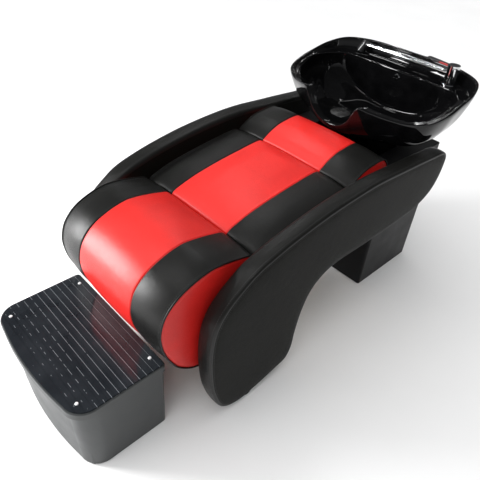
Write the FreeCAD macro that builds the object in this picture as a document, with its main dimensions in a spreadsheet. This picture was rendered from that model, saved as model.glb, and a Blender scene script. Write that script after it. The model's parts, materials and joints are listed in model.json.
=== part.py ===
import FreeCAD, Part
import math
import os
import Sketcher
from types import SimpleNamespace

Vector = FreeCAD.Vector
Rotation = FreeCAD.Rotation

# Hair washing bed in millimetres. The origin is on the floor under the middle of the whole bed,
# +Y runs from the footstool to the basin and +Z is up.

SIZES = [
    # Pedestal under the basin
    ("ped_width", 510), ("ped_front", 436), ("ped_depth", 353), ("ped_height", 575),
    ("ped_wall", 12), ("ped_corner", 10), ("ped_lift", 5), ("hatch_width", 340),
    ("hatch_height", 330), ("hatch_sill", 110), ("hatch_lap", 22), ("hatch_thick", 6),
    ("service_width", 330), ("service_length", 128), ("service_front", 486),
    ("glide_radius", 16), ("glide_inset", 45), ("glide_stem_radius", 4), ("glide_stem", 22),
    ("hatch_screw_radius", 2), ("hatch_screw_length", 13), ("screw_head_radius", 4.5),
    ("screw_head", 2.6),
    # Welded seat frame
    ("arm_gap_half", 285.5), ("rail_width", 25), ("rail_height", 30), ("rail_base", 425),
    ("rail_front", -250), ("rail_end", 560), ("tube_wall", 2), ("cross_height", 25),
    ("cross_depth", 25), ("cross_first", -241), ("cross_middle", 60), ("cross_third", 230),
    ("cross_last", 400), ("riser_height", 45), ("riser_depth", 30), ("riser_width", 400),
    ("calf_bar_width", 30), ("calf_bar_thick", 8), ("calf_bar_spread", 150),
    ("calf_board_thick", 12), ("board_thick", 15), ("board_inset", 8),
    # Cushions, seen from the side as places along Y and heights
    ("cushion_width", 496), ("strip_width", 273), ("seam_depth", 3), ("seam_width", 7),
    ("cushion_gap", 0.6), ("edge_round", 18), ("crown", 3),
    ("crease_front", -258), ("crease_front_height", 561), ("roll_crest", -430),
    ("roll_crest_height", 595), ("roll_nose", -605), ("roll_nose_height", 455),
    ("roll_shoulder", -551), ("roll_shoulder_height", 553), ("roll_low", -559),
    ("roll_low_height", 299), ("roll_side", -594), ("roll_side_height", 378),
    ("roll_toe", -470), ("roll_toe_height", 204), ("roll_chin", -524), ("roll_chin_height", 243),
    ("roll_heel", -395), ("roll_heel_height", 190), ("crease_back", 163),
    ("crease_back_height", 623), ("seat_middle_height", 602), ("head_rise", 249),
    ("head_rise_height", 659), ("head_crest", 318), ("head_crest_height", 667),
    ("head_drop", 388), ("head_drop_height", 620), ("head_end", 428), ("head_end_height", 604),
    # Arms
    ("arm_thick", 64.5), ("arm_front", -491), ("arm_back", 652), ("arm_low", 22),
    ("arm_high", 659), ("arm_round", 16), ("arm_edge", 7), ("arm_board_thick", 18),
    ("arm_board_inset", 22), ("arm_bolt_radius", 4), ("arm_bolt_head_radius", 7), ("arm_bolt_head", 5),
    ("arm_bolt_first", -195), ("arm_bolt_middle", 150), ("arm_bolt_last", 380),
    ("foot_place", -305), ("foot_radius", 22), ("foot_height", 19), ("foot_neck_radius", 9),
    ("foot_pad_height", 5), ("foot_pad_radius", 24), ("foot_stud_radius", 5),
    ("foot_stud_depth", 35), ("foot_taper", 4), ("foot_flat_rise", 12.6),
    ("ped_bolt_radius", 5), ("ped_bolt_place", 530),
    ("ped_bolt_head", 6.4), ("ped_bolt_head_radius", 8.5), ("ped_spacer_radius", 15),
    # Basin
    ("basin_width", 690), ("basin_front", 346), ("basin_back", 875), ("notch_height", 679),
    ("rim_height", 842), ("basin_wall", 13), ("floor_thick", 16), ("deck_height", 790),
    ("drain_side", -98), ("drain_place", 572), ("deck_wall", 14), ("deck_pocket_width", 456),
    ("deck_pocket_depth", 48), ("overflow_radius", 12.5), ("overflow_height", 762),
    ("overflow_thick", 4), ("overflow_bore", 5), ("overflow_proud", 1), ("overflow_stem", 6),
    # Tilting carrier under the basin
    ("plate_width", 300), ("plate_thick", 6), ("plate_front", 630), ("plate_depth", 130),
    ("tilt_place", 715), ("tilt_pin_radius", 6), ("knuckle_radius", 10),
    ("knuckle_width", 40), ("knuckle_spread", 170), ("knuckle_gap", 2), ("ear_thick", 6),
    ("ear_play", 0.6), ("carrier_thick", 4), ("carrier_width", 260), ("carrier_front", 612),
    ("carrier_end", 760), ("bed_pad_thick", 3), ("bed_pad_width", 50), ("bearing_play", 0.05),
    ("tilt_stop_radius", 9), ("tilt_stop_side", 110), ("tilt_stop_place", 645),
    ("plate_bolt_radius", 4), ("plate_bolt_head_radius", 7), ("plate_bolt_head", 5),
    ("plate_bolt_inset", 16), ("pin_head_radius", 9), ("pin_head", 3),
    # Waste
    ("waste_flange_radius", 48), ("waste_flange_thick", 2.5), ("waste_radius", 21),
    ("waste_wall", 3), ("waste_length", 95), ("waste_tail_radius", 20),
    ("waste_tail", 55), ("waste_nut_radius", 29), ("waste_nut_height", 12),
    ("waste_seal", 3), ("strainer_radius", 41), ("strainer_dome", 12), ("strainer_skirt", 10),
    ("strainer_thick", 2), ("strainer_hole", 2.4), ("strainer_play", 0.08),
    # Mixer tap
    ("tap_side", 201), ("tap_place", 808), ("tap_flange_radius", 26), ("tap_flange", 6),
    ("tap_radius", 23), ("tap_low", 24), ("collar_height", 28), ("core_radius", 15),
    ("core_reach", 4), ("shank_radius", 14), ("shank_length", 42), ("tap_nut_radius", 20),
    ("tap_nut_height", 9), ("tap_seal", 1.5), ("inlet_radius", 4), ("inlet_length", 40),
    ("inlet_spread", 7.5), ("inlet_nut_radius", 6), ("inlet_nut", 11), ("tube_radius", 11.5),
    ("spout_length", 225), ("spout_wall", 1.5), ("bush_length", 22), ("wand_radius", 8.5),
    ("wand_length", 136), ("wand_dock", 18), ("spray_radius", 18), ("spray_neck_radius", 12),
    ("spray_height", 44), ("spray_socket_radius", 10), ("spray_face_thick", 3),
    ("spray_rim", 2.5), ("cap_height", 18), ("cap_floor", 2),
    ("lever_length", 116), ("lever_width", 20), ("lever_root_width", 12), ("lever_thick", 6),
    ("lever_knuckle", 4.2), ("lever_rise", 5), ("lever_pin_radius", 1.8),
    ("lever_pin_length", 32), ("lever_pin_back", 6), ("turn_gap", 0.3),
    # Footstool
    ("stool_width", 497), ("stool_back", -568), ("stool_depth", 292), ("stool_height", 288.5),
    ("stool_corner", 62), ("stool_back_corner", 14), ("stool_bow", 15), ("stool_wall", 4),
    ("stool_taper", 3), ("stool_front_taper", 8), ("lip_height", 24), ("lip_out", 5),
    ("lip_front_out", 14), ("lip_round", 3), ("mat_thick", 3), ("mat_inset", 5),
    ("groove_width", 2.4), ("groove_depth", 1), ("groove_margin", 20),
    ("stool_foot_radius", 13), ("stool_foot_height", 4), ("stool_post_radius", 15),
    ("stool_post_inset", 24), ("stool_screw_side", 200),
    ("stool_screw_front", 36), ("stool_screw_back", 24), ("boss_radius", 8), ("boss_depth", 40),
    ("rib_thick", 3), ("rib_depth", 45), ("rib_side", 110), ("stool_screw_radius", 2.4),
    ("stool_screw_length", 24), ("stool_screw_head", 2.2), ("stool_screw_head_radius", 5.5),
    # Shared clearances
    ("hole_play", 0.4), ("overrun", 5),
]
GROOVE_COUNT = 13

# Across half of a cushion: where the strip has dropped by which share of its crown, and where the
# band beside it has dropped by which share of the edge's rounding.
CROWN_SHARES = (0.55, 0.35)
BAND_SHARES = [(0.38, 0.10), (0.66, 0.30), (0.86, 0.60), (0.965, 0.85), (1.0, 1.0)]

# The arm's outline as shares of its length from the front and of its height from its lowest point.
ARM_OUTLINE_SHARES = [
    (0.111, 0.000), (0.018, 0.200), (0.000, 0.523), (0.026, 0.712), (0.089, 0.822),
    (0.210, 0.917), (0.412, 0.981), (0.589, 1.000), (0.743, 0.987), (0.900, 0.966),
    (0.978, 0.948), (0.999, 0.890), (0.990, 0.750), (0.905, 0.634), (0.764, 0.606),
    (0.597, 0.600), (0.470, 0.598), (0.415, 0.568), (0.376, 0.510), (0.336, 0.250),
    (0.330, 0.130), (0.311, 0.062), (0.260, 0.036),
]

# Half of the basin's rim, from the neck notch round to the back: shares of the half width, of the
# depth from the front and of the rise from the notch to the highest rim.
RIM_SHARES = [
    (0.000, 0.030, 0.000), (0.130, 0.026, 0.061), (0.229, 0.015, 0.245), (0.284, 0.004, 0.472),
    (0.342, 0.000, 0.644), (0.435, 0.034, 0.601), (0.609, 0.111, 0.509), (0.777, 0.185, 0.472),
    (0.933, 0.275, 0.534), (0.997, 0.423, 0.638), (1.000, 0.574, 0.748), (0.983, 0.734, 0.853),
    (0.887, 0.885, 0.945), (0.652, 0.970, 0.988), (0.333, 0.996, 1.000), (0.000, 1.000, 1.000),
]
# Half of the upper edge of the bowl inside the rim, with the same stations as the rim. The third
# share says how squarely the wall drops there: 1 is a quarter ellipse down to the floor.
RECESS_SHARES = [
    (0.000, 0.090, 0.70), (0.122, 0.086, 0.70), (0.220, 0.080, 0.75), (0.278, 0.078, 0.80),
    (0.345, 0.087, 0.85), (0.435, 0.120, 0.90), (0.594, 0.195, 0.95), (0.725, 0.250, 1.00),
    (0.855, 0.330, 1.00), (0.900, 0.430, 1.00), (0.905, 0.530, 1.00), (0.880, 0.630, 1.05),
    (0.820, 0.725, 1.30), (0.690, 0.795, 2.20), (0.400, 0.812, 3.40), (0.000, 0.812, 3.60),
]
# Shells of the bowl from the outer bottom up to the rim: share of the plan kept in X and Y, and
# share of the height between the bottom and the rim.
OUTER_SHARES = [
    (0.55, 0.50, 0.00), (0.72, 0.66, 0.10), (0.845, 0.80, 0.28), (0.925, 0.90, 0.52),
    (0.972, 0.965, 0.76), (0.995, 0.994, 0.91), (1.000, 1.000, 0.965),
]
# The flat floor: share of the recess kept in X, towards the neck and towards the back, and how far
# its middle lies towards the drain.
FLOOR_WIDTH_SHARE = 0.42
FLOOR_FRONT_SHARE = 0.57
FLOOR_BACK_SHARE = 0.79
FLOOR_SHIFT_SHARE = 0.36
BASIN_CENTRE_SHARE = 0.56
RECESS_BACK_SHARE = 0.812
BOWL_STEPS = 5
RING_PIECES = 6
SPRAY_LEAN_DEGREES = 26
# The strainer's slope: share of its radius and of its rise. Its rings of holes: share of the
# skirt's radius and number of holes.
STRAINER_SLOPE_SHARES = (0.62, 0.72)
STRAINER_RING_SHARES = [(0.40, 6), (0.80, 12)]


class Size:
    """A length that knows its value and the sheet expression that it comes from."""

    def __init__(self, value, text):
        self.value = float(value)
        self.text = text

    def __add__(self, other):
        other = as_size(other)
        return Size(self.value + other.value, f"({self.text} + {other.text})")

    def __sub__(self, other):
        other = as_size(other)
        return Size(self.value - other.value, f"({self.text} - {other.text})")

    def __mul__(self, other):
        other = as_size(other)
        return Size(self.value * other.value, f"({self.text} * {other.text})")

    def __truediv__(self, other):
        other = as_size(other)
        return Size(self.value / other.value, f"({self.text} / {other.text})")

    def __neg__(self):
        return Size(-self.value, f"(0 - {self.text})")

    def __float__(self):
        return self.value


def as_size(value):
    if isinstance(value, Size):
        return value
    return Size(value, repr(float(value)))


def make_sheet(document):
    """Writes the sizes into the sheet and returns them by name."""
    sheet = document.addObject("Spreadsheet::Sheet", "Sizes")
    known = {}
    for row, (name, value) in enumerate(SIZES, start=1):
        sheet.set(f"A{row}", name)
        sheet.set(f"B{row}", str(value))
        sheet.setAlias(f"B{row}", name)
        known[name] = Size(value, f"Sizes.{name}")
    document.recompute()
    return SimpleNamespace(**known)


doc = FreeCAD.newDocument("HairWashingBed")
S = make_sheet(doc)
ZERO = as_size(0)
nodes = {}


def bind(target, **properties):
    """Ties each named property, with double underscores for dots, to a size's expression."""
    for name, size in properties.items():
        target.setExpression(name.replace("__", "."), as_size(size).text)
    return target


def place(target, x=ZERO, y=ZERO, z=ZERO):
    return bind(target, Placement__Base__x=x, Placement__Base__y=y, Placement__Base__z=z)


def node(target, name):
    """Names a finished sub-part and lists it for the export."""
    target.Label = name
    nodes[name] = target
    return target


def box(name, width, depth, height, x, y, z):
    """A box whose lowest corner is at x, y, z."""
    made = bind(doc.addObject("Part::Box", name), Length=width, Width=depth, Height=height)
    return place(made, x, y, z)


def rod(name, radius, length, x, y, z, axis="z"):
    """A cylinder that starts at x, y, z and runs along an axis."""
    made = bind(doc.addObject("Part::Cylinder", name), Radius=radius, Height=length)
    turns = {"x": Rotation(Vector(0, 1, 0), 90), "y": Rotation(Vector(1, 0, 0), -90),
             "z": Rotation()}
    made.Placement.Rotation = turns[axis]
    return place(made, x, y, z)


def fuse(name, pieces):
    made = doc.addObject("Part::MultiFuse", name)
    made.Shapes = pieces
    return made


def together(name, pieces):
    """Separate solids that share one node."""
    made = doc.addObject("Part::Compound", name)
    made.Links = pieces
    return made


def cut(name, base, tools):
    made = doc.addObject("Part::Cut", name)
    made.Base = base
    made.Tool = tools[0] if len(tools) == 1 else fuse(name + "_tools", tools)
    return made


def feature(name, shape):
    made = doc.addObject("Part::Feature", name)
    made.Shape = shape
    return made


def body(name):
    return doc.addObject("PartDesign::Body", name)


def sketch_on(owner, name, role, lift=None):
    """A sketch on one of the body's own origin planes, lifted along the plane's normal."""
    plane = next(item for item in owner.Origin.OriginFeatures if item.Role == role)
    made = owner.newObject("Sketcher::SketchObject", name)
    made.AttachmentSupport = [(plane, "")]
    made.MapMode = "FlatFace"
    if lift is not None:
        made.setExpression(".AttachmentOffset.Base.z", lift.text)
    return made


def tie_point(sketch, item, vertex, across, up):
    """Ties one point of a sketch to its two sizes."""
    for kind, size in (("DistanceX", across), ("DistanceY", up)):
        size = as_size(size)
        index = sketch.addConstraint(Sketcher.Constraint(kind, -1, 1, item, vertex, size.value))
        sketch.setExpression(f"Constraints[{index}]", size.text)


def draw_outline(sketch, corners, arcs=()):
    """Closed outline through corners; arcs maps a side's number to its radius and turn sign."""
    arcs = dict(arcs)
    first = sketch.GeometryCount
    count = len(corners)
    for index in range(count):
        start = Vector(float(corners[index][0]), float(corners[index][1]), 0)
        end_corner = corners[(index + 1) % count]
        end = Vector(float(end_corner[0]), float(end_corner[1]), 0)
        if index in arcs:
            radius, sign = arcs[index]
            chord = end - start
            normal = Vector(chord.y, -chord.x, 0).normalize()
            reach = float(radius) - math.sqrt(float(radius) ** 2 - chord.Length ** 2 / 4)
            middle = (start + end) / 2 + normal * reach * sign
            if (middle - start).cross(end - start).z < 0:
                start, end = end, start
            sketch.addGeometry(Part.Arc(start, middle, end), False)
        else:
            sketch.addGeometry(Part.LineSegment(start, end), False)
    ends = []
    for index in range(count):
        item = first + index
        geometry = sketch.Geometry[item]
        start = Vector(float(corners[index][0]), float(corners[index][1]), 0)
        begins = (geometry.StartPoint - start).Length <= (geometry.EndPoint - start).Length
        ends.append((1, 2) if begins else (2, 1))
    for index in range(count):
        other = (index + 1) % count
        sketch.addConstraint(Sketcher.Constraint(
            "Coincident", first + index, ends[index][1], first + other, ends[other][0]))
    for index in range(count):
        tie_point(sketch, first + index, ends[index][0], *corners[index])
    for index, (radius, _sign) in arcs.items():
        radius = as_size(radius)
        made = sketch.addConstraint(Sketcher.Constraint("Radius", first + index, radius.value))
        sketch.setExpression(f"Constraints[{made}]", radius.text)


def draw_circle(sketch, radius, across=ZERO, up=ZERO):
    radius = as_size(radius)
    centre = Vector(float(across), float(up), 0)
    item = sketch.addGeometry(Part.Circle(centre, Vector(0, 0, 1), radius.value), False)
    made = sketch.addConstraint(Sketcher.Constraint("Radius", item, radius.value))
    sketch.setExpression(f"Constraints[{made}]", radius.text)
    tie_point(sketch, item, 3, across, up)


def draw_box(sketch, low_x, high_x, low_y, high_y):
    draw_outline(sketch, [(low_x, low_y), (high_x, low_y), (high_x, high_y), (low_x, high_y)])


def pad(owner, sketch, length, reverse=False, both_ways=False):
    made = owner.newObject("PartDesign::Pad", sketch.Name + "_pad")
    made.Profile = sketch
    made.Reversed = reverse
    if both_ways:
        made.SideType = "Symmetric"
    bind(made, Length=length)
    doc.recompute()
    return made


def pocket(owner, sketch, length, reverse=False, both_ways=False):
    """A pocket that must take material away."""
    before = owner.Tip.Shape.Volume
    made = owner.newObject("PartDesign::Pocket", sketch.Name + "_pocket")
    made.Profile = sketch
    made.Reversed = reverse
    if both_ways:
        made.SideType = "Symmetric"
    bind(made, Length=length)
    doc.recompute()
    if made.Shape.Volume >= before:
        raise ValueError(sketch.Name + " cuts nothing")
    return made


def round_edges(owner, base, radius, chosen, kind="Fillet"):
    """Rounds or chamfers the edges of a feature for which chosen is true."""
    names = [f"Edge{index}" for index, edge in enumerate(base.Shape.Edges, start=1) if chosen(edge)]
    made = owner.newObject("PartDesign::" + kind, base.Name + "_" + kind.lower())
    made.Base = (base, names)
    bind(made, **{"Radius" if kind == "Fillet" else "Size": radius})
    doc.recompute()
    return made


def turned(name, profile, arcs=()):
    """A turned piece: its half profile of radii and heights, revolved about Z."""
    made = body(name)
    sketch = sketch_on(made, name + "_profile", "XZ_Plane")
    draw_outline(sketch, profile, arcs)
    spin = made.newObject("PartDesign::Revolution", name + "_spin")
    spin.Profile = sketch
    spin.ReferenceAxis = (sketch, ["V_Axis"])
    spin.Angle = 360
    doc.recompute()
    return made


def slab_plate(name, thick, outline, z, arcs=()):
    """A flat plate that stands on height z with an outline in X and Y."""
    made = body(name)
    sketch = sketch_on(made, name + "_outline", "XY_Plane", z)
    draw_outline(sketch, outline, arcs)
    pad(made, sketch, thick)
    return made


# Places that several pieces share
half_cushion = S.cushion_width / 2
rail_inner = S.arm_gap_half - S.rail_width
rail_top = S.rail_base + S.rail_height
ped_half = S.ped_width / 2
ped_back = S.ped_front + S.ped_depth
ped_top = S.ped_height
seat_board_top = rail_top + S.board_thick
head_board_top = rail_top + S.riser_height + S.board_thick
plate_top = ped_top + S.plate_thick
tilt_height = plate_top + S.knuckle_radius + S.knuckle_gap
carrier_bottom = tilt_height + S.knuckle_radius + S.knuckle_gap
basin_bottom = carrier_bottom + S.carrier_thick + S.bed_pad_thick
floor_height = basin_bottom + S.floor_thick
collar_base = S.deck_height + S.tap_flange + S.tap_low + S.turn_gap
tube_height = collar_base + S.collar_height / 2
cap_base = collar_base + S.collar_height + S.turn_gap
tube_end = S.tap_side - S.spout_length - S.tap_radius
board_inner = S.arm_gap_half + (S.arm_thick - S.arm_board_thick) / 2
board_middle = S.arm_gap_half + S.arm_thick / 2
cup_top = S.foot_pad_height + S.foot_height
# A flat on the arm board's lower edge, which the foot's neck presses on
foot_neck_top = S.arm_low + S.arm_board_inset + S.foot_flat_rise


def make_pedestal():
    """Casing of boards round an open inside, with a service slot on top and a hatch behind."""
    inner = ped_half - S.ped_wall
    corner = S.ped_corner
    board_rise = S.ped_height - S.ped_lift - S.ped_wall
    bolt_hole = rod("ped_side_hole", S.ped_bolt_radius + S.hole_play, S.ped_width + S.overrun,
                    -(ped_half + S.overrun / 2), S.ped_bolt_place,
                    S.rail_base + S.rail_height / 2, "x")
    sides = []
    for side, letter in ((1, "r"), (-1, "l")):
        outline = [(inner * side, S.ped_front), ((ped_half - corner) * side, S.ped_front),
                   (ped_half * side, S.ped_front + corner), (ped_half * side, ped_back - corner),
                   ((ped_half - corner) * side, ped_back), (inner * side, ped_back)]
        board = slab_plate(f"side_board_{letter}", board_rise, outline, S.ped_lift,
                           {1: (corner, side), 3: (corner, side)})
        sides.append(cut(f"side_board_drilled_{letter}", board, [bolt_hole]))
    node(together("pedestal_sides", sides), "pedestal_sides")

    node(box("front_board", inner * 2, S.ped_wall, board_rise, -inner, S.ped_front, S.ped_lift),
         "pedestal_front")

    back = box("back_board", inner * 2, S.ped_wall, board_rise, -inner, ped_back - S.ped_wall,
               S.ped_lift)
    hatch = box("hatch_opening", S.hatch_width, S.ped_wall + S.overrun * 2, S.hatch_height,
                -(S.hatch_width / 2), ped_back - S.ped_wall - S.overrun, S.hatch_sill)
    pilots = [rod(f"hatch_pilot_{i}", S.hatch_screw_radius + S.hole_play / 2,
                  S.ped_wall + S.overrun * 2, x, ped_back - S.ped_wall - S.overrun, z, "y")
              for i, (x, z) in enumerate(hatch_screw_places())]
    node(cut("pedestal_back", back, [hatch] + pilots), "pedestal_back")

    low = S.ped_front
    top = slab_plate("top_board", S.ped_wall, [
        (corner - ped_half, low), (ped_half - corner, low), (ped_half, low + corner),
        (ped_half, ped_back - corner), (ped_half - corner, ped_back), (corner - ped_half, ped_back),
        (-ped_half, ped_back - corner), (-ped_half, low + corner),
    ], ped_top - S.ped_wall, {1: (corner, 1), 3: (corner, 1), 5: (corner, 1), 7: (corner, 1)})
    slot = box("service_slot", S.service_width, S.service_length, S.ped_wall + S.overrun * 2,
               -(S.service_width / 2), S.service_front, ped_top - S.ped_wall - S.overrun)
    plate_holes = [rod(f"top_hole_{i}", S.plate_bolt_radius + S.hole_play,
                       S.ped_wall + S.overrun * 2, x, y, ped_top - S.ped_wall - S.overrun)
                   for i, (x, y) in enumerate(plate_bolt_places())]
    node(cut("pedestal_top", top, [slot] + plate_holes), "pedestal_top")

    blocks = []
    reach = S.glide_inset - S.ped_wall + S.glide_radius
    for index, (x, y) in enumerate(glide_places()):
        low_x = S.ped_wall - ped_half if index % 2 == 0 else ped_half - S.ped_wall - reach
        low_y = S.ped_front + S.ped_wall if index < 2 else ped_back - S.ped_wall - reach
        block = box(f"glide_block_{index}", reach, reach, S.glide_stem + S.glide_radius, low_x,
                    low_y, S.ped_lift)
        stem = rod(f"glide_hole_{index}", S.glide_stem_radius + S.hole_play / 4,
                   S.glide_stem + S.overrun, x, y, S.ped_lift - S.overrun)
        blocks.append(cut(f"glide_block_drilled_{index}", block, [stem]))
    node(together("pedestal_blocks", blocks), "pedestal_blocks")


def glide_places():
    inner = ped_half - S.glide_inset
    low = S.ped_front + S.glide_inset
    high = ped_back - S.glide_inset
    return [(-inner, low), (inner, low), (-inner, high), (inner, high)]


def hatch_screw_places():
    side = S.hatch_width / 2 + S.hatch_lap / 2
    low = S.hatch_sill - S.hatch_lap / 2
    high = S.hatch_sill + S.hatch_height + S.hatch_lap / 2
    return [(-side, low), (side, low), (-side, high), (side, high)]


def plate_bolt_places():
    side = S.plate_width / 2 - S.plate_bolt_inset
    low = S.plate_front + S.plate_bolt_inset
    high = S.plate_front + S.plate_depth - S.plate_bolt_inset
    return [(-side, low), (side, low), (-side, high), (side, high)]


def make_hatch():
    """Lift-off cover of the hatch, with its screws."""
    cover = body("hatch_plate")
    sketch = sketch_on(cover, "hatch_outline", "XZ_Plane", -ped_back)
    side = S.hatch_width / 2 + S.hatch_lap
    draw_box(sketch, -side, side, S.hatch_sill - S.hatch_lap,
             S.hatch_sill + S.hatch_height + S.hatch_lap)
    flat = pad(cover, sketch, S.hatch_thick, reverse=True)
    round_edges(cover, flat, S.hatch_thick * 1.5,
                lambda edge: edge.Curve.TypeId == "Part::GeomLine"
                and abs(edge.Curve.Direction.y) > 0.99)
    holes = [rod(f"hatch_hole_{i}", S.hatch_screw_radius + S.hole_play / 2, S.hatch_thick * 3,
                 x, ped_back - S.hatch_thick, z, "y")
             for i, (x, z) in enumerate(hatch_screw_places())]
    node(cut("access_panel", cover, holes), "access_panel")
    screws = []
    for index, (x, z) in enumerate(hatch_screw_places()):
        profile = [(ZERO, ZERO), (S.hatch_screw_radius, ZERO),
                   (S.hatch_screw_radius, S.hatch_screw_length),
                   (S.screw_head_radius, S.hatch_screw_length),
                   (S.screw_head_radius * 0.7, S.hatch_screw_length + S.screw_head),
                   (ZERO, S.hatch_screw_length + S.screw_head)]
        screw = turned(f"hatch_screw_{index}", profile)
        screw.Placement.Rotation = Rotation(Vector(1, 0, 0), -90)
        place(screw, x, ped_back + S.hatch_thick - S.hatch_screw_length, z)
        screws.append(screw)
    node(together("access_panel_screws", screws), "access_panel_screws")


def make_glides():
    """Plastic glides that the pedestal stands on."""
    glides = []
    for index, (x, y) in enumerate(glide_places()):
        profile = [(ZERO, ZERO), (S.glide_radius - S.ped_lift / 3, ZERO),
                   (S.glide_radius, S.ped_lift / 3), (S.glide_radius, S.ped_lift),
                   (S.glide_stem_radius, S.ped_lift),
                   (S.glide_stem_radius, S.ped_lift + S.glide_stem - S.hole_play),
                   (ZERO, S.ped_lift + S.glide_stem - S.hole_play)]
        glide = turned(f"glide_{index}", profile)
        place(glide, x, y, ZERO)
        glides.append(glide)
    node(together("pedestal_glides", glides), "pedestal_glides")


def rail(name, side):
    """Hollow side rail of the frame; side is 1 or -1."""
    low = rail_inner if side > 0 else -S.arm_gap_half
    length = S.rail_end - S.rail_front
    outer = box(name + "_outer", S.rail_width, length, S.rail_height, low, S.rail_front,
                S.rail_base)
    hollow = box(name + "_hollow", S.rail_width - S.tube_wall * 2, length + S.overrun * 2,
                 S.rail_height - S.tube_wall * 2, low + S.tube_wall, S.rail_front - S.overrun,
                 S.rail_base + S.tube_wall)
    return outer, hollow


def arm_bolt_places():
    return [S.arm_bolt_first, S.arm_bolt_middle, S.arm_bolt_last]


def make_frame():
    """Welded ladder of two rails and four cross tubes, with bars that hold the calf board."""
    right, right_hollow = rail("right_rail", 1)
    left, left_hollow = rail("left_rail", -1)
    crosses = []
    for index, y in enumerate([S.cross_first, S.cross_middle, S.cross_third, S.cross_last]):
        crosses.append(box(f"cross_{index}", rail_inner * 2, S.cross_depth, S.cross_height,
                           -rail_inner, y, rail_top - S.cross_height))
    middle_height = S.rail_base + S.rail_height / 2
    holes = [rod(f"rail_hole_{i}", S.arm_bolt_radius + S.hole_play, S.arm_gap_half * 2 + S.overrun,
                 -(S.arm_gap_half + S.overrun / 2), y, middle_height, "x")
             for i, y in enumerate(arm_bolt_places())]
    holes.append(rod("rail_ped_hole", S.ped_bolt_radius + S.hole_play,
                     S.arm_gap_half * 2 + S.overrun, -(S.arm_gap_half + S.overrun / 2),
                     S.ped_bolt_place, middle_height, "x"))
    ladder = cut("ladder", fuse("ladder_tubes", [right, left] + crosses),
                 [right_hollow, left_hollow] + holes)
    bars = [calf_plate(f"calf_bar_{i}", S.calf_bar_width, S.calf_bar_thick,
                       S.calf_board_thick, x - S.calf_bar_width / 2, S.calf_bar_thick / 2)
            for i, x in enumerate([-S.calf_bar_spread, S.calf_bar_spread])]
    node(fuse("seat_frame", [ladder] + bars), "seat_frame")


def calf_plate(name, width, thick, behind, low_x, past=ZERO):
    """A flat piece parallel to the back of the calf roll, at a distance behind it."""
    foot = Vector(0, float(S.roll_heel), float(S.roll_heel_height))
    head = Vector(0, float(S.crease_front), float(rail_top))
    along = (head - foot).normalize()
    back = Vector(0, along.z, -along.y)
    low = foot + back * float(behind)
    high = head + along * float(past) + back * float(behind)
    out = back * float(thick)
    flat = Part.makePolygon([low, high, high + out, low + out, low])
    solid = Part.Face(flat).extrude(Vector(float(width), 0, 0))
    made = feature(name, solid)
    made.Placement.Base = Vector(float(low_x), 0, 0)
    return made


def make_boards():
    """Plywood under the cushions."""
    width = S.cushion_width - S.board_inset * 2
    calf = calf_plate("calf_board", width, S.calf_board_thick, ZERO, -(width / 2))
    node(calf, "calf_board")
    seat = box("seat_board", width, S.crease_back - S.crease_front - S.board_inset, S.board_thick,
               -(width / 2), S.crease_front + S.board_inset, rail_top)
    node(seat, "seat_board")
    head = box("head_board", width, S.head_end - S.crease_back - S.board_inset, S.board_thick,
               -(width / 2), S.crease_back, rail_top + S.riser_height)
    node(head, "head_board")
    risers = [box(f"riser_{i}", S.riser_width, S.riser_depth, S.riser_height,
                  -(S.riser_width / 2), y, rail_top)
              for i, y in enumerate([S.cross_third, S.cross_last - S.riser_depth / 4])]
    node(together("head_board_risers", risers), "head_board_risers")


def point(y, z):
    return Vector(0, float(y), float(z))


def section_wire(x, moves):
    """A closed wire at x from its start point and a list of lines and three-point arcs."""
    edges = []
    here = moves[0]
    for move in moves[1:]:
        if isinstance(move, tuple):
            edges.append(Part.Arc(here, move[0], move[1]).toShape())
            here = move[1]
        else:
            edges.append(Part.LineSegment(here, move).toShape())
            here = move
    wire = Part.Wire(edges)
    wire.translate(Vector(x, 0, 0))
    return wire


def cushion_stations():
    """Places across a cushion, each with how far its surface is drawn in there."""
    half = float(half_cushion)
    strip = float(S.strip_width) / 2
    seam = float(S.seam_width) / 2
    edge = float(S.edge_round)
    crown = float(S.crown)
    band = half - strip
    right = [(0, 0), (strip * CROWN_SHARES[0], crown * CROWN_SHARES[1]), (strip - seam, crown),
             (strip, crown + float(S.seam_depth)), (strip + seam, crown)]
    right += [(strip + band * across, crown + edge * drop) for across, drop in BAND_SHARES]
    left = [(-x, inset) for x, inset in reversed(right[1:])]
    return left + right


def loft(wires, ruled=True):
    return Part.makeLoft(wires, True, ruled)


def make_calf_roll():
    """Waterfall roll in front of the seat: its outline shrinks towards the side seams."""
    centre = point(S.roll_crest, S.roll_side_height)
    crease = point(S.crease_front - S.cushion_gap / 2, S.crease_front_height)
    crest = point(S.roll_crest, S.roll_crest_height)
    bulge = (crease + crest) / 2 + point(ZERO, S.crown * 2)
    swelling = [crest, point(S.roll_shoulder, S.roll_shoulder_height),
                point(S.roll_nose, S.roll_nose_height), point(S.roll_side, S.roll_side_height),
                point(S.roll_low, S.roll_low_height), point(S.roll_chin, S.roll_chin_height),
                point(S.roll_toe, S.roll_toe_height)]
    heel = point(S.roll_heel, S.roll_heel_height)
    back = point(S.crease_front - S.cushion_gap / 2, rail_top)
    reach = float(S.roll_crest_height - S.roll_side_height)
    wires = []
    for x, inset in cushion_stations():
        keep = 1 - inset / reach
        start = crease + Vector(0, 0, -inset)
        p = [centre + (place_now - centre) * keep for place_now in swelling]
        wires.append(section_wire(x, [start, (bulge + Vector(0, 0, -inset), p[0]), (p[1], p[2]),
                                      (p[3], p[4]), (p[5], p[6]), heel, back, start]))
    return node(feature("calf_roll", loft(wires)), "calf_roll")


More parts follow.
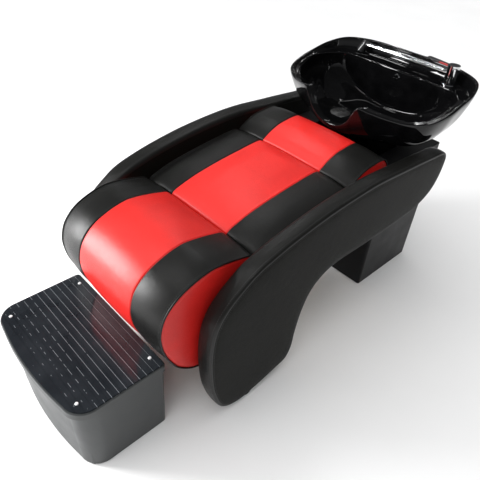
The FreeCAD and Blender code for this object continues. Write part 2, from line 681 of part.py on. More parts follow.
def block_cushion(name, front, front_top, back, back_top, bottom, middle_top):
    """A cushion on a flat board with a crowned top and ends that are drawn in at the sides."""
    corner = float(S.edge_round)
    gap = float(S.cushion_gap) / 2
    wires = []
    for x, inset in cushion_stations():
        drawn = gap + inset * 0.12
        low = float(front) + drawn
        high = float(back) - drawn
        z_low = float(front_top) - inset
        z_high = float(back_top) - inset
        z_mid = float(middle_top) - inset
        bend = corner * (1 - math.sqrt(0.5))
        moves = [Vector(0, low, float(bottom)), Vector(0, low, z_low - corner),
                 (Vector(0, low + bend, z_low - bend), Vector(0, low + corner, z_low)),
                 (Vector(0, (low + high) / 2, z_mid), Vector(0, high - corner, z_high)),
                 (Vector(0, high - bend, z_high - bend), Vector(0, high, z_high - corner)),
                 Vector(0, high, float(bottom)), Vector(0, low, float(bottom))]
        wires.append(section_wire(x, moves))
    return node(feature(name, loft(wires)), name)


def make_head_cushion():
    """Cushion under the shoulders; its end dips under the basin."""
    gap = float(S.cushion_gap) / 2
    wires = []
    corner = float(S.edge_round)
    bend = corner * (1 - math.sqrt(0.5))
    for x, inset in cushion_stations():
        down = Vector(0, 0, -inset)
        low = float(S.crease_back) + gap + inset * 0.12
        high = float(S.head_end)
        z_low = float(S.crease_back_height) - inset
        rise = point(S.head_rise, S.head_rise_height) + down
        crest = point(S.head_crest, S.head_crest_height) + down
        drop = point(S.head_drop, S.head_drop_height) + down * 0.6
        end = Vector(0, high, float(S.head_end_height) - inset * 0.5)
        first = Vector(0, low + corner, z_low + corner * 0.4)
        lift = (first + rise) / 2 + Vector(0, -corner * 0.12, corner * 0.3)
        over = (rise + crest) / 2 + Vector(0, 0, float(S.crown) * 0.9)
        fall = (crest + drop) / 2 + Vector(0, corner * 0.45, corner * 0.5)
        moves = [Vector(0, low, float(head_board_top)), Vector(0, low, z_low - corner),
                 (Vector(0, low + bend * 0.8, z_low - bend), first), (lift, rise), (over, crest),
                 (fall, drop), end, Vector(0, high, float(head_board_top)),
                 Vector(0, low, float(head_board_top))]
        wires.append(section_wire(x, moves))
    return node(feature("head_cushion", loft(wires)), "head_cushion")


def inward(way):
    """The direction into an outline in the YZ plane that runs clockwise along a direction."""
    return Vector(0, way.z, -way.y)


def smooth_arcs(points):
    """Tangent arcs through a closed row of points, two from each point to the next one.

    An arc is its start, its end, its centre and its radius, which is negative where it is hollow.
    """
    ways = []
    for before, here, after in zip(points[-1:] + points[:-1], points, points[1:] + points[:1]):
        arrive = here - before
        leave = after - here
        way = arrive * (leave.Length / arrive.Length) + leave * (arrive.Length / leave.Length)
        ways.append(way.normalize())
    arcs = []
    for index, start in enumerate(points):
        following = (index + 1) % len(points)
        end = points[following]
        way, way_on = ways[index], ways[following]
        chord = end - start
        both = chord.dot(way + way_on)
        turn = (1 - way.dot(way_on)) * 2
        reach = chord.dot(chord) / (math.sqrt(both ** 2 + turn * chord.dot(chord)) + both)
        joint = (start + end + (way - way_on) * reach) / 2
        for known, direction, other in ((start, way, joint), (end, way_on, joint)):
            span = other - known
            radius = span.dot(span) / (inward(direction).dot(span) * 2)
            centre = known + inward(direction) * radius
            ends = (known, other) if known == start else (other, known)
            arcs.append(ends + (centre, radius))
    return arcs


def arm_edges(x, inset):
    """The arm's outline in the plane at x, drawn in by an inset."""
    length = float(S.arm_back - S.arm_front)
    height = float(S.arm_high - S.arm_low)
    through = [Vector(0, float(S.arm_front) + length * y, float(S.arm_low) + height * z)
               for y, z in ARM_OUTLINE_SHARES]
    edges = []
    for start, end, centre, radius in smooth_arcs(through):
        middle = centre + ((start + end) / 2 - centre).normalize() * abs(radius)
        drawn = [spot + (centre - spot) * (inset / radius) + Vector(x, 0, 0)
                 for spot in (start, middle, end)]
        edges.append(Part.Arc(*drawn).toShape())
    return edges


def make_arm(side, word):
    """Upholstered arm round its plywood board."""
    start = float(S.arm_gap_half)
    thick = float(S.arm_thick)
    inner = float(S.arm_round)
    outer = float(S.arm_edge)
    bend = 1 - math.sqrt(0.5)
    stations = [(0, inner), (inner * bend, inner * bend), (inner, 0), (thick - outer, 0),
                (thick - outer * bend, outer * bend), (thick, outer)]
    solid = ruled_solid([arm_edges((start + x) * side, inset) for x, inset in stations])
    outline = Part.Wire(arm_edges(float(board_inner) * side, float(S.arm_board_inset)))
    board = Part.Face(outline).extrude(Vector(float(S.arm_board_thick) * side, 0, 0))
    solid = solid.cut(board)
    middle_height = float(S.rail_base + S.rail_height / 2)
    reach = float(S.arm_gap_half - S.overrun)
    for y in arm_bolt_places():
        origin = Vector(reach * side, float(y), middle_height)
        pad_hole = Part.makeCylinder(float(S.arm_bolt_radius + S.hole_play),
                                     float(board_inner) - reach + float(S.overrun), origin,
                                     Vector(side, 0, 0))
        board_hole = Part.makeCylinder(float(S.arm_bolt_radius + S.hole_play / 2),
                                       float(board_inner + S.arm_board_thick) - reach, origin,
                                       Vector(side, 0, 0))
        solid = solid.cut(pad_hole)
        board = board.cut(board_hole)
    foot_x = float(board_middle) * side
    place_y = float(S.foot_place)
    neck_top = float(foot_neck_top)
    under = Part.makeCylinder(float(S.foot_radius + S.hole_play), float(cup_top + S.overrun),
                              Vector(foot_x, place_y, -float(S.overrun)))
    neck = Part.makeCylinder(float(S.foot_neck_radius + S.hole_play),
                             neck_top + float(S.overrun * 2), Vector(foot_x, place_y, 0))
    width = float(S.arm_board_thick)
    reach_y = float(S.foot_neck_radius) * 2
    flat = Part.makeBox(width * 2, reach_y * 2, neck_top,
                        Vector(foot_x - width, place_y - reach_y, 0))
    stud = Part.makeCylinder(float(S.foot_stud_radius + S.hole_play / 2),
                             float(S.foot_stud_depth + S.overrun),
                             Vector(foot_x, place_y, neck_top - float(S.overrun)))
    board = board.cut(flat).cut(stud)
    solid = solid.cut(under).cut(neck)
    node(feature(f"{word}_arm_board", board), f"{word}_arm_board")
    node(feature(f"{word}_arm", solid), f"{word}_arm")


def make_feet():
    """Chrome cup feet on studs, with rubber pads."""
    for side, word in ((1, "right"), (-1, "left")):
        profile = [(ZERO, S.foot_pad_height), (S.foot_radius - S.foot_taper, S.foot_pad_height),
                   (S.foot_radius, cup_top - S.foot_taper),
                   (S.foot_radius - S.foot_taper / 2, cup_top),
                   (S.foot_neck_radius, cup_top), (S.foot_neck_radius, foot_neck_top),
                   (S.foot_stud_radius, foot_neck_top),
                   (S.foot_stud_radius, foot_neck_top + S.foot_stud_depth),
                   (ZERO, foot_neck_top + S.foot_stud_depth)]
        foot = turned(f"{word}_front_foot", profile)
        place(foot, board_middle * side, S.foot_place, ZERO)
        node(foot, f"{word}_front_foot")
    pads = []
    for index, side in enumerate((1, -1)):
        profile = [(ZERO, ZERO), (S.foot_pad_radius - S.foot_pad_height / 3, ZERO),
                   (S.foot_pad_radius, S.foot_pad_height / 3),
                   (S.foot_radius, S.foot_pad_height), (ZERO, S.foot_pad_height)]
        pad_piece = turned(f"foot_pad_{index}", profile)
        place(pad_piece, board_middle * side, S.foot_place, ZERO)
        pads.append(pad_piece)
    node(together("front_foot_pads", pads), "front_foot_pads")


def make_bolts():
    """Bolts from the rails into the arm boards and into the pedestal's sides."""
    middle_height = S.rail_base + S.rail_height / 2
    length = board_inner + S.arm_board_thick - rail_inner - S.hole_play
    arm_bolts = []
    for y_index, y in enumerate(arm_bolt_places()):
        for side in (1, -1):
            head = S.arm_bolt_head_radius
            profile = [(ZERO, -S.arm_bolt_head), (head - S.arm_bolt_head / 4, -S.arm_bolt_head),
                       (head, -(S.arm_bolt_head * 0.6)), (head, ZERO), (S.arm_bolt_radius, ZERO),
                       (S.arm_bolt_radius, length), (ZERO, length)]
            bolt = turned(f"arm_bolt_{y_index}_{'r' if side > 0 else 'l'}", profile)
            bolt.Placement.Rotation = Rotation(Vector(0, 1, 0), 90 * side)
            place(bolt, rail_inner * side, y, middle_height)
            arm_bolts.append(bolt)
    node(together("arm_bolts", arm_bolts), "arm_bolts")
    ped_bolts = []
    spacers = []
    gap = rail_inner - ped_half
    reach = S.rail_width + gap + S.ped_wall
    for side, letter in ((1, "r"), (-1, "l")):
        profile = [(ZERO, ZERO), (S.ped_bolt_radius, ZERO), (S.ped_bolt_radius, reach),
                   (S.ped_bolt_head_radius, reach), (S.ped_bolt_head_radius, reach + S.ped_bolt_head),
                   (ZERO, reach + S.ped_bolt_head)]
        bolt = turned(f"ped_bolt_{letter}", profile)
        bolt.Placement.Rotation = Rotation(Vector(0, 1, 0), -90 * side)
        place(bolt, (S.arm_gap_half) * side, S.ped_bolt_place, middle_height)
        ped_bolts.append(bolt)
        ring = [(S.ped_bolt_radius + S.hole_play, ZERO), (S.ped_spacer_radius, ZERO),
                (S.ped_spacer_radius, gap), (S.ped_bolt_radius + S.hole_play, gap)]
        spacer = turned(f"ped_spacer_{letter}", ring)
        spacer.Placement.Rotation = Rotation(Vector(0, 1, 0), 90 * side)
        place(spacer, ped_half * side, S.ped_bolt_place, middle_height)
        spacers.append(spacer)
    node(together("pedestal_bolts", ped_bolts), "pedestal_bolts")
    node(together("pedestal_spacers", spacers), "pedestal_spacers")


def mirrored(half):
    """A full ring of stations from half of it, with x running both ways from the notch."""
    left = [(-entry[0],) + tuple(entry[1:]) for entry in reversed(half[1:-1])]
    return list(half) + left


def ring_edges(points):
    """A smooth closed curve through a ring of points with even parameters, in equal pieces."""
    curve = Part.BSplineCurve()
    curve.interpolate(Points=points, Parameters=[float(i) for i in range(len(points) + 1)],
                      PeriodicFlag=True)
    step = len(points) / RING_PIECES
    edges = []
    for index in range(RING_PIECES):
        piece = curve.copy()
        piece.segment(step * index, step * (index + 1))
        edges.append(piece.toShape())
    return edges


def ruled_solid(edges):
    """A closed solid of ruled faces between outlines of equal edges, with flat ends."""
    faces = [Part.makeRuledSurface(low, high) for lower, upper in zip(edges, edges[1:])
             for low, high in zip(lower, upper)]
    ends = [Part.Face(Part.Wire(edges[0])), Part.Face(Part.Wire(edges[-1]))]
    shell = Part.makeShell(faces + ends)
    shell.sewShape()
    return Part.makeSolid(shell)


def basin_rings():
    """Rings of points from the outer bottom, over the rim, to the inner floor."""
    half = float(S.basin_width) / 2
    front = float(S.basin_front)
    depth = float(S.basin_back) - front
    low = float(S.notch_height)
    rise = float(S.rim_height) - low
    middle = front + depth * BASIN_CENTRE_SHARE
    wall = float(S.basin_wall)
    bottom = float(basin_bottom)
    floor = float(floor_height)
    rim = [Vector(half * x, front + depth * y, low + rise * z) for x, y, z in mirrored(RIM_SHARES)]
    edge = [Vector(half * x, front + depth * y, 0) for x, y, _bend in mirrored(RECESS_SHARES)]

    def shrunk(ring, base, keep_x, keep_y, up):
        return [Vector(p.x * keep_x, middle + (p.y - middle) * keep_y, base + (p.z - base) * up)
                for p in ring]

    def towards_edge(share_of_wall, limit_share, drop):
        ring = []
        for outer, inner in zip(rim, edge):
            way = Vector(inner.x - outer.x, inner.y - outer.y, 0)
            step = min(wall * share_of_wall, way.Length * limit_share)
            ring.append(outer + way.normalize() * step - Vector(0, 0, wall * drop))
        return ring

    lip = [Vector(inner.x, inner.y, min(float(S.deck_height), outer.z - wall / 2))
           for outer, inner in zip(rim, edge)]
    ledge = [Vector(p.x, p.y, inner.z + wall * 0.15)
             for p, inner in zip(towards_edge(1.9, 0.8, 0), lip)]
    rings = [shrunk(rim, bottom, *shares) for shares in OUTER_SHARES]
    rings += [towards_edge(0.25, 0.1, 0), towards_edge(0.8, 0.35, 0), towards_edge(1.15, 0.5, 0.3),
              ledge, lip]
    shift = float(S.drain_side) * FLOOR_SHIFT_SHARE

    def down_to(turn):
        ring = []
        for p, (_x, _y, bend) in zip(lip, mirrored(RECESS_SHARES)):
            keep_y = FLOOR_BACK_SHARE if p.y > middle else FLOOR_FRONT_SHARE
            foot = Vector(p.x * FLOOR_WIDTH_SHARE + shift, middle + (p.y - middle) * keep_y, floor)
            inwards = 1 - max(math.cos(turn), 0) ** (1 / bend)
            down = math.sin(turn) ** (1 / bend)
            ring.append(Vector(p.x + (foot.x - p.x) * inwards, p.y + (foot.y - p.y) * inwards,
                               p.z + (foot.z - p.z) * down))
        return ring

    rings += [down_to(math.pi / 2 * step / BOWL_STEPS) for step in range(1, BOWL_STEPS + 1)]
    return rings


def upright_rod(radius, x, y, low, high):
    """A vertical cylinder shape between two heights."""
    return Part.makeCylinder(float(radius), float(high) - float(low),
                             Vector(float(x), float(y), float(low)))


def recess_back():
    """Where the bowl's straight back edge lies along Y."""
    return S.basin_front + (S.basin_back - S.basin_front) * RECESS_BACK_SHARE


def overflow_rod(radius, end):
    """A level cylinder shape from inside the bowl back to a place behind its back edge."""
    start = S.tap_place - S.deck_pocket_depth * 2
    return Part.makeCylinder(float(radius + S.hole_play), float(end - start),
                             Vector(0, float(start), float(S.overflow_height)), Vector(0, 1, 0))


def make_basin():
    """Ceramic bowl lofted through its rings, with its drain, tap hole and hollow deck."""
    solid = ruled_solid([ring_edges(ring) for ring in basin_rings()])
    above = S.rim_height + S.overrun
    below = basin_bottom - S.overrun
    top = S.deck_height - S.deck_wall
    radius = S.deck_pocket_depth / 2
    end = S.deck_pocket_width / 2 - radius
    run = Part.makeBox(float(end * 2), float(radius * 2), float(top - below),
                       Vector(float(-end), float(S.tap_place - radius), float(below)))
    tools = [
        upright_rod(S.waste_radius + S.hole_play, S.drain_side, S.drain_place, below, above),
        upright_rod(S.waste_flange_radius + S.hole_play, S.drain_side, S.drain_place,
                    floor_height - S.waste_flange_thick, above),
        upright_rod(S.shank_radius + S.hole_play, S.tap_side, S.tap_place, below, above),
        upright_rod(S.tap_flange_radius + S.hole_play, S.tap_side, S.tap_place, S.deck_height,
                    above),
        run,
        upright_rod(radius, end, S.tap_place, below, top),
        upright_rod(radius, -end, S.tap_place, below, top),
        overflow_rod(S.overflow_radius, recess_back() + S.overflow_proud),
        overflow_rod(S.overflow_bore, S.tap_place),
    ]
    for tool in tools:
        solid = solid.cut(tool)
    node(feature("basin_bowl", solid), "basin_bowl")
    hollow = S.overflow_bore * 0.7
    cover = [(hollow, -S.overflow_stem), (S.overflow_bore, -S.overflow_stem),
             (S.overflow_bore, ZERO), (S.overflow_radius, ZERO),
             (S.overflow_radius, S.overflow_thick * 0.6),
             (S.overflow_radius * 0.8, S.overflow_thick), (hollow, S.overflow_thick)]
    made = turned("overflow_turned", cover)
    made.Placement.Rotation = Rotation(Vector(1, 0, 0), 90)
    place(made, ZERO, recess_back() + S.overflow_proud, S.overflow_height)
    node(made, "overflow_cover")


def make_tilt_mount():
    """Steel plate on the pedestal, tilt pin, and the carrier that is bonded under the basin."""
    width = S.plate_width
    plate = box("plate_flat", width, S.plate_depth, S.plate_thick, -(width / 2), S.plate_front,
                ped_top)
    solids = [plate]
    ear_solids = []
    half_knuckle = S.knuckle_width / 2
    for index, x in enumerate([-(S.knuckle_spread / 2), S.knuckle_spread / 2]):
        solids.append(rod(f"knuckle_{index}", S.knuckle_radius, S.knuckle_width, x - half_knuckle,
                          S.tilt_place, tilt_height, "x"))
        solids.append(box(f"knuckle_foot_{index}", S.knuckle_width, S.knuckle_radius * 2,
                          tilt_height - plate_top, x - half_knuckle,
                          S.tilt_place - S.knuckle_radius, plate_top))
        for side, word in ((-1, "in"), (1, "out")):
            low = (x - half_knuckle - S.ear_play - S.ear_thick if side < 0
                   else x + half_knuckle + S.ear_play)
            ear_solids.append(rod(f"ear_{index}_{word}", S.knuckle_radius, S.ear_thick, low,
                                  S.tilt_place, tilt_height, "x"))
            ear_solids.append(box(f"ear_web_{index}_{word}", S.ear_thick, S.knuckle_radius * 2,
                                  carrier_bottom - tilt_height, low,
                                  S.tilt_place - S.knuckle_radius, tilt_height))
    pin_half = S.knuckle_spread / 2 + half_knuckle + S.ear_play + S.ear_thick + S.turn_gap
    bore = rod("knuckle_bore", S.tilt_pin_radius + S.bearing_play, pin_half * 2 + S.overrun * 2,
               -(pin_half + S.overrun), S.tilt_place, tilt_height, "x")
    holes = [rod(f"plate_hole_{i}", S.plate_bolt_radius + S.hole_play, S.plate_thick * 3, x, y,
                 ped_top - S.plate_thick) for i, (x, y) in enumerate(plate_bolt_places())]
    node(cut("pedestal_top_plate", fuse("plate_solids", solids), [bore] + holes),
         "pedestal_top_plate")

    flat = box("carrier_flat", S.carrier_width, S.carrier_end - S.carrier_front, S.carrier_thick,
               -(S.carrier_width / 2), S.carrier_front, carrier_bottom)
    node(cut("basin_carrier", fuse("carrier_solids", [flat] + ear_solids), [bore]),
         "basin_carrier")

    profile = [(ZERO, -pin_half - S.pin_head), (S.pin_head_radius, -pin_half - S.pin_head),
               (S.pin_head_radius, -pin_half), (S.tilt_pin_radius, -pin_half),
               (S.tilt_pin_radius, pin_half), (S.pin_head_radius, pin_half),
               (S.pin_head_radius, pin_half + S.pin_head), (ZERO, pin_half + S.pin_head)]
    pin = turned("tilt_pin", profile)
    pin.Placement.Rotation = Rotation(Vector(0, 1, 0), 90)
    place(pin, ZERO, S.tilt_place, tilt_height)
    node(pin, "basin_hinge_pin")

    pads = [box(f"bed_pad_{i}", S.bed_pad_width, S.carrier_end - S.carrier_front, S.bed_pad_thick,
                x, S.carrier_front, carrier_bottom + S.carrier_thick)
            for i, x in enumerate([-(S.carrier_width / 2), S.carrier_width / 2 - S.bed_pad_width])]
    node(together("basin_bed_pads", pads), "basin_bed_pads")
    stops = [rod(f"tilt_stop_{i}", S.tilt_stop_radius, carrier_bottom - plate_top - S.turn_gap,
                 x, S.tilt_stop_place, plate_top)
             for i, x in enumerate([-S.tilt_stop_side, S.tilt_stop_side])]
    node(together("tilt_stops", stops), "tilt_stops")
    bolts = []
    for index, (x, y) in enumerate(plate_bolt_places()):
        reach = S.ped_wall + S.plate_thick
        profile = [(ZERO, -reach), (S.plate_bolt_radius, -reach), (S.plate_bolt_radius, ZERO),
                   (S.plate_bolt_head_radius, ZERO),
                   (S.plate_bolt_head_radius, S.plate_bolt_head * 0.7),
                   (S.plate_bolt_head_radius * 0.8, S.plate_bolt_head), (ZERO, S.plate_bolt_head)]
        bolt = turned(f"plate_bolt_{index}", profile)
        place(bolt, x, y, plate_top)
        bolts.append(bolt)
    node(together("top_plate_bolts", bolts), "top_plate_bolts")


def make_waste():
    """Flanged waste through the bowl's floor, its seal and nut, and the lift-out strainer."""
    flange_top = floor_height
    flange_low = floor_height - S.waste_flange_thick
    inner = S.waste_radius - S.waste_wall
    tail_end = floor_height - S.waste_length
    profile = [(inner, tail_end), (S.waste_tail_radius, tail_end),
               (S.waste_tail_radius, tail_end + S.waste_tail),
               (S.waste_radius, tail_end + S.waste_tail), (S.waste_radius, flange_low),
               (S.waste_flange_radius, flange_low),
               (S.waste_flange_radius, flange_top), (inner, flange_top)]
    made = turned("waste_turned", profile)
    place(made, S.drain_side, S.drain_place, ZERO)
    node(made, "waste_outlet")
    ring = [(S.waste_radius + S.hole_play, basin_bottom - S.waste_seal),
            (S.waste_nut_radius, basin_bottom - S.waste_seal), (S.waste_nut_radius, basin_bottom),
            (S.waste_radius + S.hole_play, basin_bottom)]
    seal = turned("seal_turned", ring)
    place(seal, S.drain_side, S.drain_place, ZERO)
    node(seal, "waste_seal")
    nut_top = basin_bottom - S.waste_seal
    nut = slab_plate("nut_body", S.waste_nut_height, polygon(S.waste_nut_radius, 8),
                     nut_top - S.waste_nut_height)
    hole = sketch_on(nut, "nut_hole", "XY_Plane", nut_top - S.waste_nut_height)
    draw_circle(hole, S.waste_radius)
    pocket(nut, hole, S.waste_nut_height, reverse=True)
    place(nut, S.drain_side, S.drain_place, ZERO)
    node(nut, "waste_nut")
    make_strainer(inner)


def polygon(radius, sides):
    """Corners of a regular outline round the origin."""
    return [(radius * math.cos(2 * math.pi * i / sides), radius * math.sin(2 * math.pi * i / sides))
            for i in range(sides)]


def make_strainer(inner):
    """Perforated dome that catches hair, with a skirt that drops into the outlet."""
    low = floor_height
    top = low + S.strainer_dome
    skirt = inner - S.strainer_play
    under = low + S.strainer_thick
    slope = S.strainer_radius * STRAINER_SLOPE_SHARES[0]
    slope_rise = S.strainer_dome * STRAINER_SLOPE_SHARES[1]
    profile = [(skirt - S.strainer_thick, low - S.strainer_skirt), (skirt, low - S.strainer_skirt),
               (skirt, low), (S.strainer_radius, low), (slope, low + slope_rise), (ZERO, top),
               (ZERO, top - S.strainer_thick), (skirt - S.strainer_thick, under)]
    dome = turned("strainer_turned", profile)
    place(dome, S.drain_side, S.drain_place, ZERO)
    holes = []
    for ring_share, count in STRAINER_RING_SHARES:
        for index in range(count):
            turn = 2 * math.pi * index / count
            holes.append(rod(f"strainer_hole_{count}_{index}", S.strainer_hole,
                             S.strainer_dome * 2,
                             S.drain_side + skirt * (ring_share * math.cos(turn)),
                             S.drain_place + skirt * (ring_share * math.sin(turn)),
                             floor_height + S.strainer_thick / 4))
    node(cut("hair_strainer", dome, holes), "hair_strainer")


def make_tap():
    """Single-lever mixer: fixed base, swivelling spout with a docked hand spray, cap and lever."""
    low = S.deck_height + S.tap_flange
    top = low + S.tap_low
    core_top = cap_base + S.core_reach - S.turn_gap
    profile = [(ZERO, S.deck_height - S.shank_length), (S.shank_radius, S.deck_height - S.shank_length),
               (S.shank_radius, S.deck_height), (S.tap_flange_radius, S.deck_height),
               (S.tap_flange_radius, low - S.tap_flange / 3), (S.tap_radius, low),
               (S.tap_radius, top), (S.core_radius, top), (S.core_radius, core_top),
               (ZERO, core_top)]
    base = turned("tap_base_turned", profile)
    place(base, S.tap_side, S.tap_place, ZERO)
    node(base, "tap_body")
    deck_under = S.deck_height - S.deck_wall
    ring = [(S.shank_radius + S.hole_play, deck_under - S.tap_seal),
            (S.tap_nut_radius, deck_under - S.tap_seal), (S.tap_nut_radius, deck_under),
            (S.shank_radius + S.hole_play, deck_under)]
    washer = turned("tap_washer_turned", ring)
    place(washer, S.tap_side, S.tap_place, ZERO)
    node(washer, "tap_washer")
    nut_top = deck_under - S.tap_seal
    nut = slab_plate("tap_nut_body", S.tap_nut_height, polygon(S.tap_nut_radius, 6),
                     nut_top - S.tap_nut_height)
    hole = sketch_on(nut, "tap_nut_hole", "XY_Plane", nut_top - S.tap_nut_height)
    draw_circle(hole, S.shank_radius)
    pocket(nut, hole, S.tap_nut_height, reverse=True)
    place(nut, S.tap_side, S.tap_place, ZERO)
    node(nut, "tap_nut")
    shank_end = S.deck_height - S.shank_length
    inlets = []
    for index, side in enumerate((-1, 1)):
        profile = [(ZERO, shank_end), (S.inlet_radius, shank_end),
                   (S.inlet_radius, shank_end - S.inlet_length),
                   (S.inlet_nut_radius, shank_end - S.inlet_length),
                   (S.inlet_nut_radius, shank_end - S.inlet_length - S.inlet_nut),
                   (ZERO, shank_end - S.inlet_length - S.inlet_nut)]
        inlet = turned(f"inlet_{index}", profile)
        place(inlet, S.tap_side + S.inlet_spread * side, S.tap_place, ZERO)
        inlets.append(inlet)
    node(together("tap_inlets", inlets), "tap_inlets")
    make_spout()
    make_spray()
    make_lever()


def make_spout():
    """Collar that turns on the tap's core, with its tube and the bush at the tube's end."""
    collar = rod("collar", S.tap_radius, S.collar_height, S.tap_side, S.tap_place, collar_base)
    tube = rod("spout_outer", S.tube_radius, S.spout_length + S.tap_radius, tube_end, S.tap_place,
               tube_height, "x")
    core = rod("collar_bore", S.core_radius + S.bearing_play, S.collar_height + S.overrun * 2,
               S.tap_side, S.tap_place, collar_base - S.overrun)
    bore = rod("spout_bore", S.tube_radius - S.spout_wall, S.spout_length, tube_end - S.overrun,
               S.tap_place, tube_height, "x")
    node(cut("spout", fuse("spout_solids", [collar, tube]), [core, bore]), "spout")
    profile = [(S.wand_radius + S.bearing_play, ZERO), (S.tube_radius - S.spout_wall, ZERO),
               (S.tube_radius - S.spout_wall, S.bush_length),
               (S.wand_radius + S.bearing_play, S.bush_length)]
    bush = turned("bush_turned", profile)
    bush.Placement.Rotation = Rotation(Vector(0, 1, 0), 90)
    place(bush, tube_end, S.tap_place, tube_height)
    node(bush, "spout_bush")


def make_spray():
    """Hand spray: a handle docked in the spout, a conical head and its nozzle disc."""
    inside = S.wand_dock + S.wand_radius / 3
    profile = [(ZERO, -S.wand_length), (S.wand_radius, -S.wand_length),
               (S.wand_radius, inside - S.wand_radius / 3),
               (S.wand_radius * 2 / 3, inside), (ZERO, inside)]
    wand = turned("wand_turned", profile)
    wand.Placement.Rotation = Rotation(Vector(0, 1, 0), 90)
    place(wand, tube_end, S.tap_place, tube_height)
    node(wand, "spray_handle")
    end = tube_end - S.wand_length
    lean = Rotation(Vector(0, 1, 0), SPRAY_LEAN_DEGREES)
    inner = S.spray_radius - S.spray_rim
    top = S.spray_height * 0.3
    low = top - S.spray_height
    shell = turned("spray_cone", [(ZERO, low + S.spray_face_thick), (inner, low + S.spray_face_thick),
                                  (inner, low), (S.spray_radius, low),
                                  (S.spray_neck_radius, top - S.spray_neck_radius / 3),
                                  (S.spray_neck_radius * 2 / 3, top), (ZERO, top)])
    shell.Placement.Rotation = lean
    centre = end - S.spray_neck_radius - S.spray_socket_radius / 2
    place(shell, centre, S.tap_place, tube_height)
    socket = rod("spray_socket", S.spray_socket_radius, end - centre, centre, S.tap_place,
                 tube_height, "x")
    node(fuse("spray_head", [shell, socket]), "spray_head")
    disc = turned("spray_disc", [(ZERO, low), (inner, low), (inner, low + S.spray_face_thick),
                                 (ZERO, low + S.spray_face_thick)])
    disc.Placement.Rotation = lean
    place(disc, centre, S.tap_place, tube_height)
    node(disc, "spray_face")


def make_lever():
    """Turning cap with a slot, the lever in it and the lever's pin."""
    pin_x = S.tap_side + S.lever_pin_back
    pin_z = cap_base + S.core_reach + S.cap_floor + S.turn_gap + S.lever_knuckle
    top = cap_base + S.cap_height
    cap = rod("cap_round", S.tap_radius, S.cap_height, S.tap_side, S.tap_place, cap_base)
    core = rod("cap_bore", S.core_radius + S.bearing_play, S.core_reach + S.overrun, S.tap_side,
               S.tap_place, cap_base - S.overrun)
    slot_width = S.lever_root_width + S.ear_play
    slot_floor = pin_z - S.lever_knuckle - S.turn_gap
    slot = box("lever_slot", S.tap_radius + S.lever_pin_back + S.lever_knuckle + S.turn_gap
               + S.overrun, slot_width, top - slot_floor + S.overrun,
               S.tap_side - S.tap_radius - S.overrun, S.tap_place - slot_width / 2, slot_floor)
    hole = rod("lever_pin_hole", S.lever_pin_radius, S.lever_pin_length, pin_x,
               S.tap_place - S.lever_pin_length / 2, pin_z, "y")
    node(cut("tap_cap", cap, [core, slot, hole]), "tap_cap")
    pin = rod("pin_round", S.lever_pin_radius, S.lever_pin_length, pin_x,
              S.tap_place - S.lever_pin_length / 2, pin_z, "y")
    node(pin, "lever_pin")
    side = body("lever_side")
    sketch = sketch_on(side, "lever_side_outline", "XZ_Plane")
    knuckle = S.lever_knuckle
    root = S.tap_radius + S.lever_pin_back
    draw_outline(sketch, [(ZERO, knuckle), (-(knuckle * 0.5), knuckle),
                          (-S.lever_length, knuckle + S.lever_rise),
                          (-S.lever_length, knuckle + S.lever_rise - S.lever_thick / 2),
                          (-root, knuckle - S.lever_thick), (-(knuckle * 2), -knuckle),
                          (ZERO, -knuckle), (knuckle, ZERO)], {6: (knuckle, 1), 7: (knuckle, 1)})
    pad(side, sketch, S.lever_width + S.overrun, both_ways=True)
    place(side, pin_x, S.tap_place, pin_z)
    plan = body("lever_plan")
    flat = sketch_on(plan, "lever_plan_outline", "XY_Plane")
    half = S.lever_root_width / 2
    wide = S.lever_width / 2
    draw_outline(flat, [(knuckle + S.overrun, -half), (knuckle + S.overrun, half),
                        (-root - S.turn_gap, half), (-S.lever_length * 0.55, wide * 0.85),
                        (-S.lever_length + wide * 0.5, wide), (-S.lever_length, wide * 0.5),
                        (-S.lever_length, -(wide * 0.5)), (-S.lever_length + wide * 0.5, -wide),
                        (-S.lever_length * 0.55, -(wide * 0.85)), (-root - S.turn_gap, -half)])
    pad(plan, flat, S.lever_length, both_ways=True)
    place(plan, pin_x, S.tap_place, pin_z)
    common = doc.addObject("Part::MultiCommon", "lever_common")
    common.Shapes = [side, plan]
    bore = rod("lever_bore", S.lever_pin_radius + S.bearing_play, S.lever_pin_length, pin_x,
               S.tap_place - S.lever_pin_length / 2, pin_z, "y")
    node(cut("tap_lever", common, [bore]), "tap_lever")


def stool_outline(sketch, half, back, front, corner, back_corner, bow):
    """Plan of the footstool: square back, rounded front corners and a bowed front."""
    chord = half - corner
    bow_radius = (chord * chord + bow * bow) / (bow * 2)
    draw_outline(sketch, [
        (back_corner - half, back), (half - back_corner, back), (half, back - back_corner),
        (half, front + corner), (chord, front), (-chord, front), (-half, front + corner),
        (-half, back - back_corner),
    ], {1: (back_corner, -1), 3: (corner, -1), 4: (bow_radius, -1), 5: (corner, -1),
        7: (back_corner, -1)})


def ruled_between(owner, low, high):
    """A body's straight-sided loft from one outline to the next."""
    made = owner.newObject("PartDesign::AdditiveLoft", low.Name + "_loft")
    made.Profile = low
    made.Sections = [high]
    made.Ruled = True
    doc.recompute()
    return made


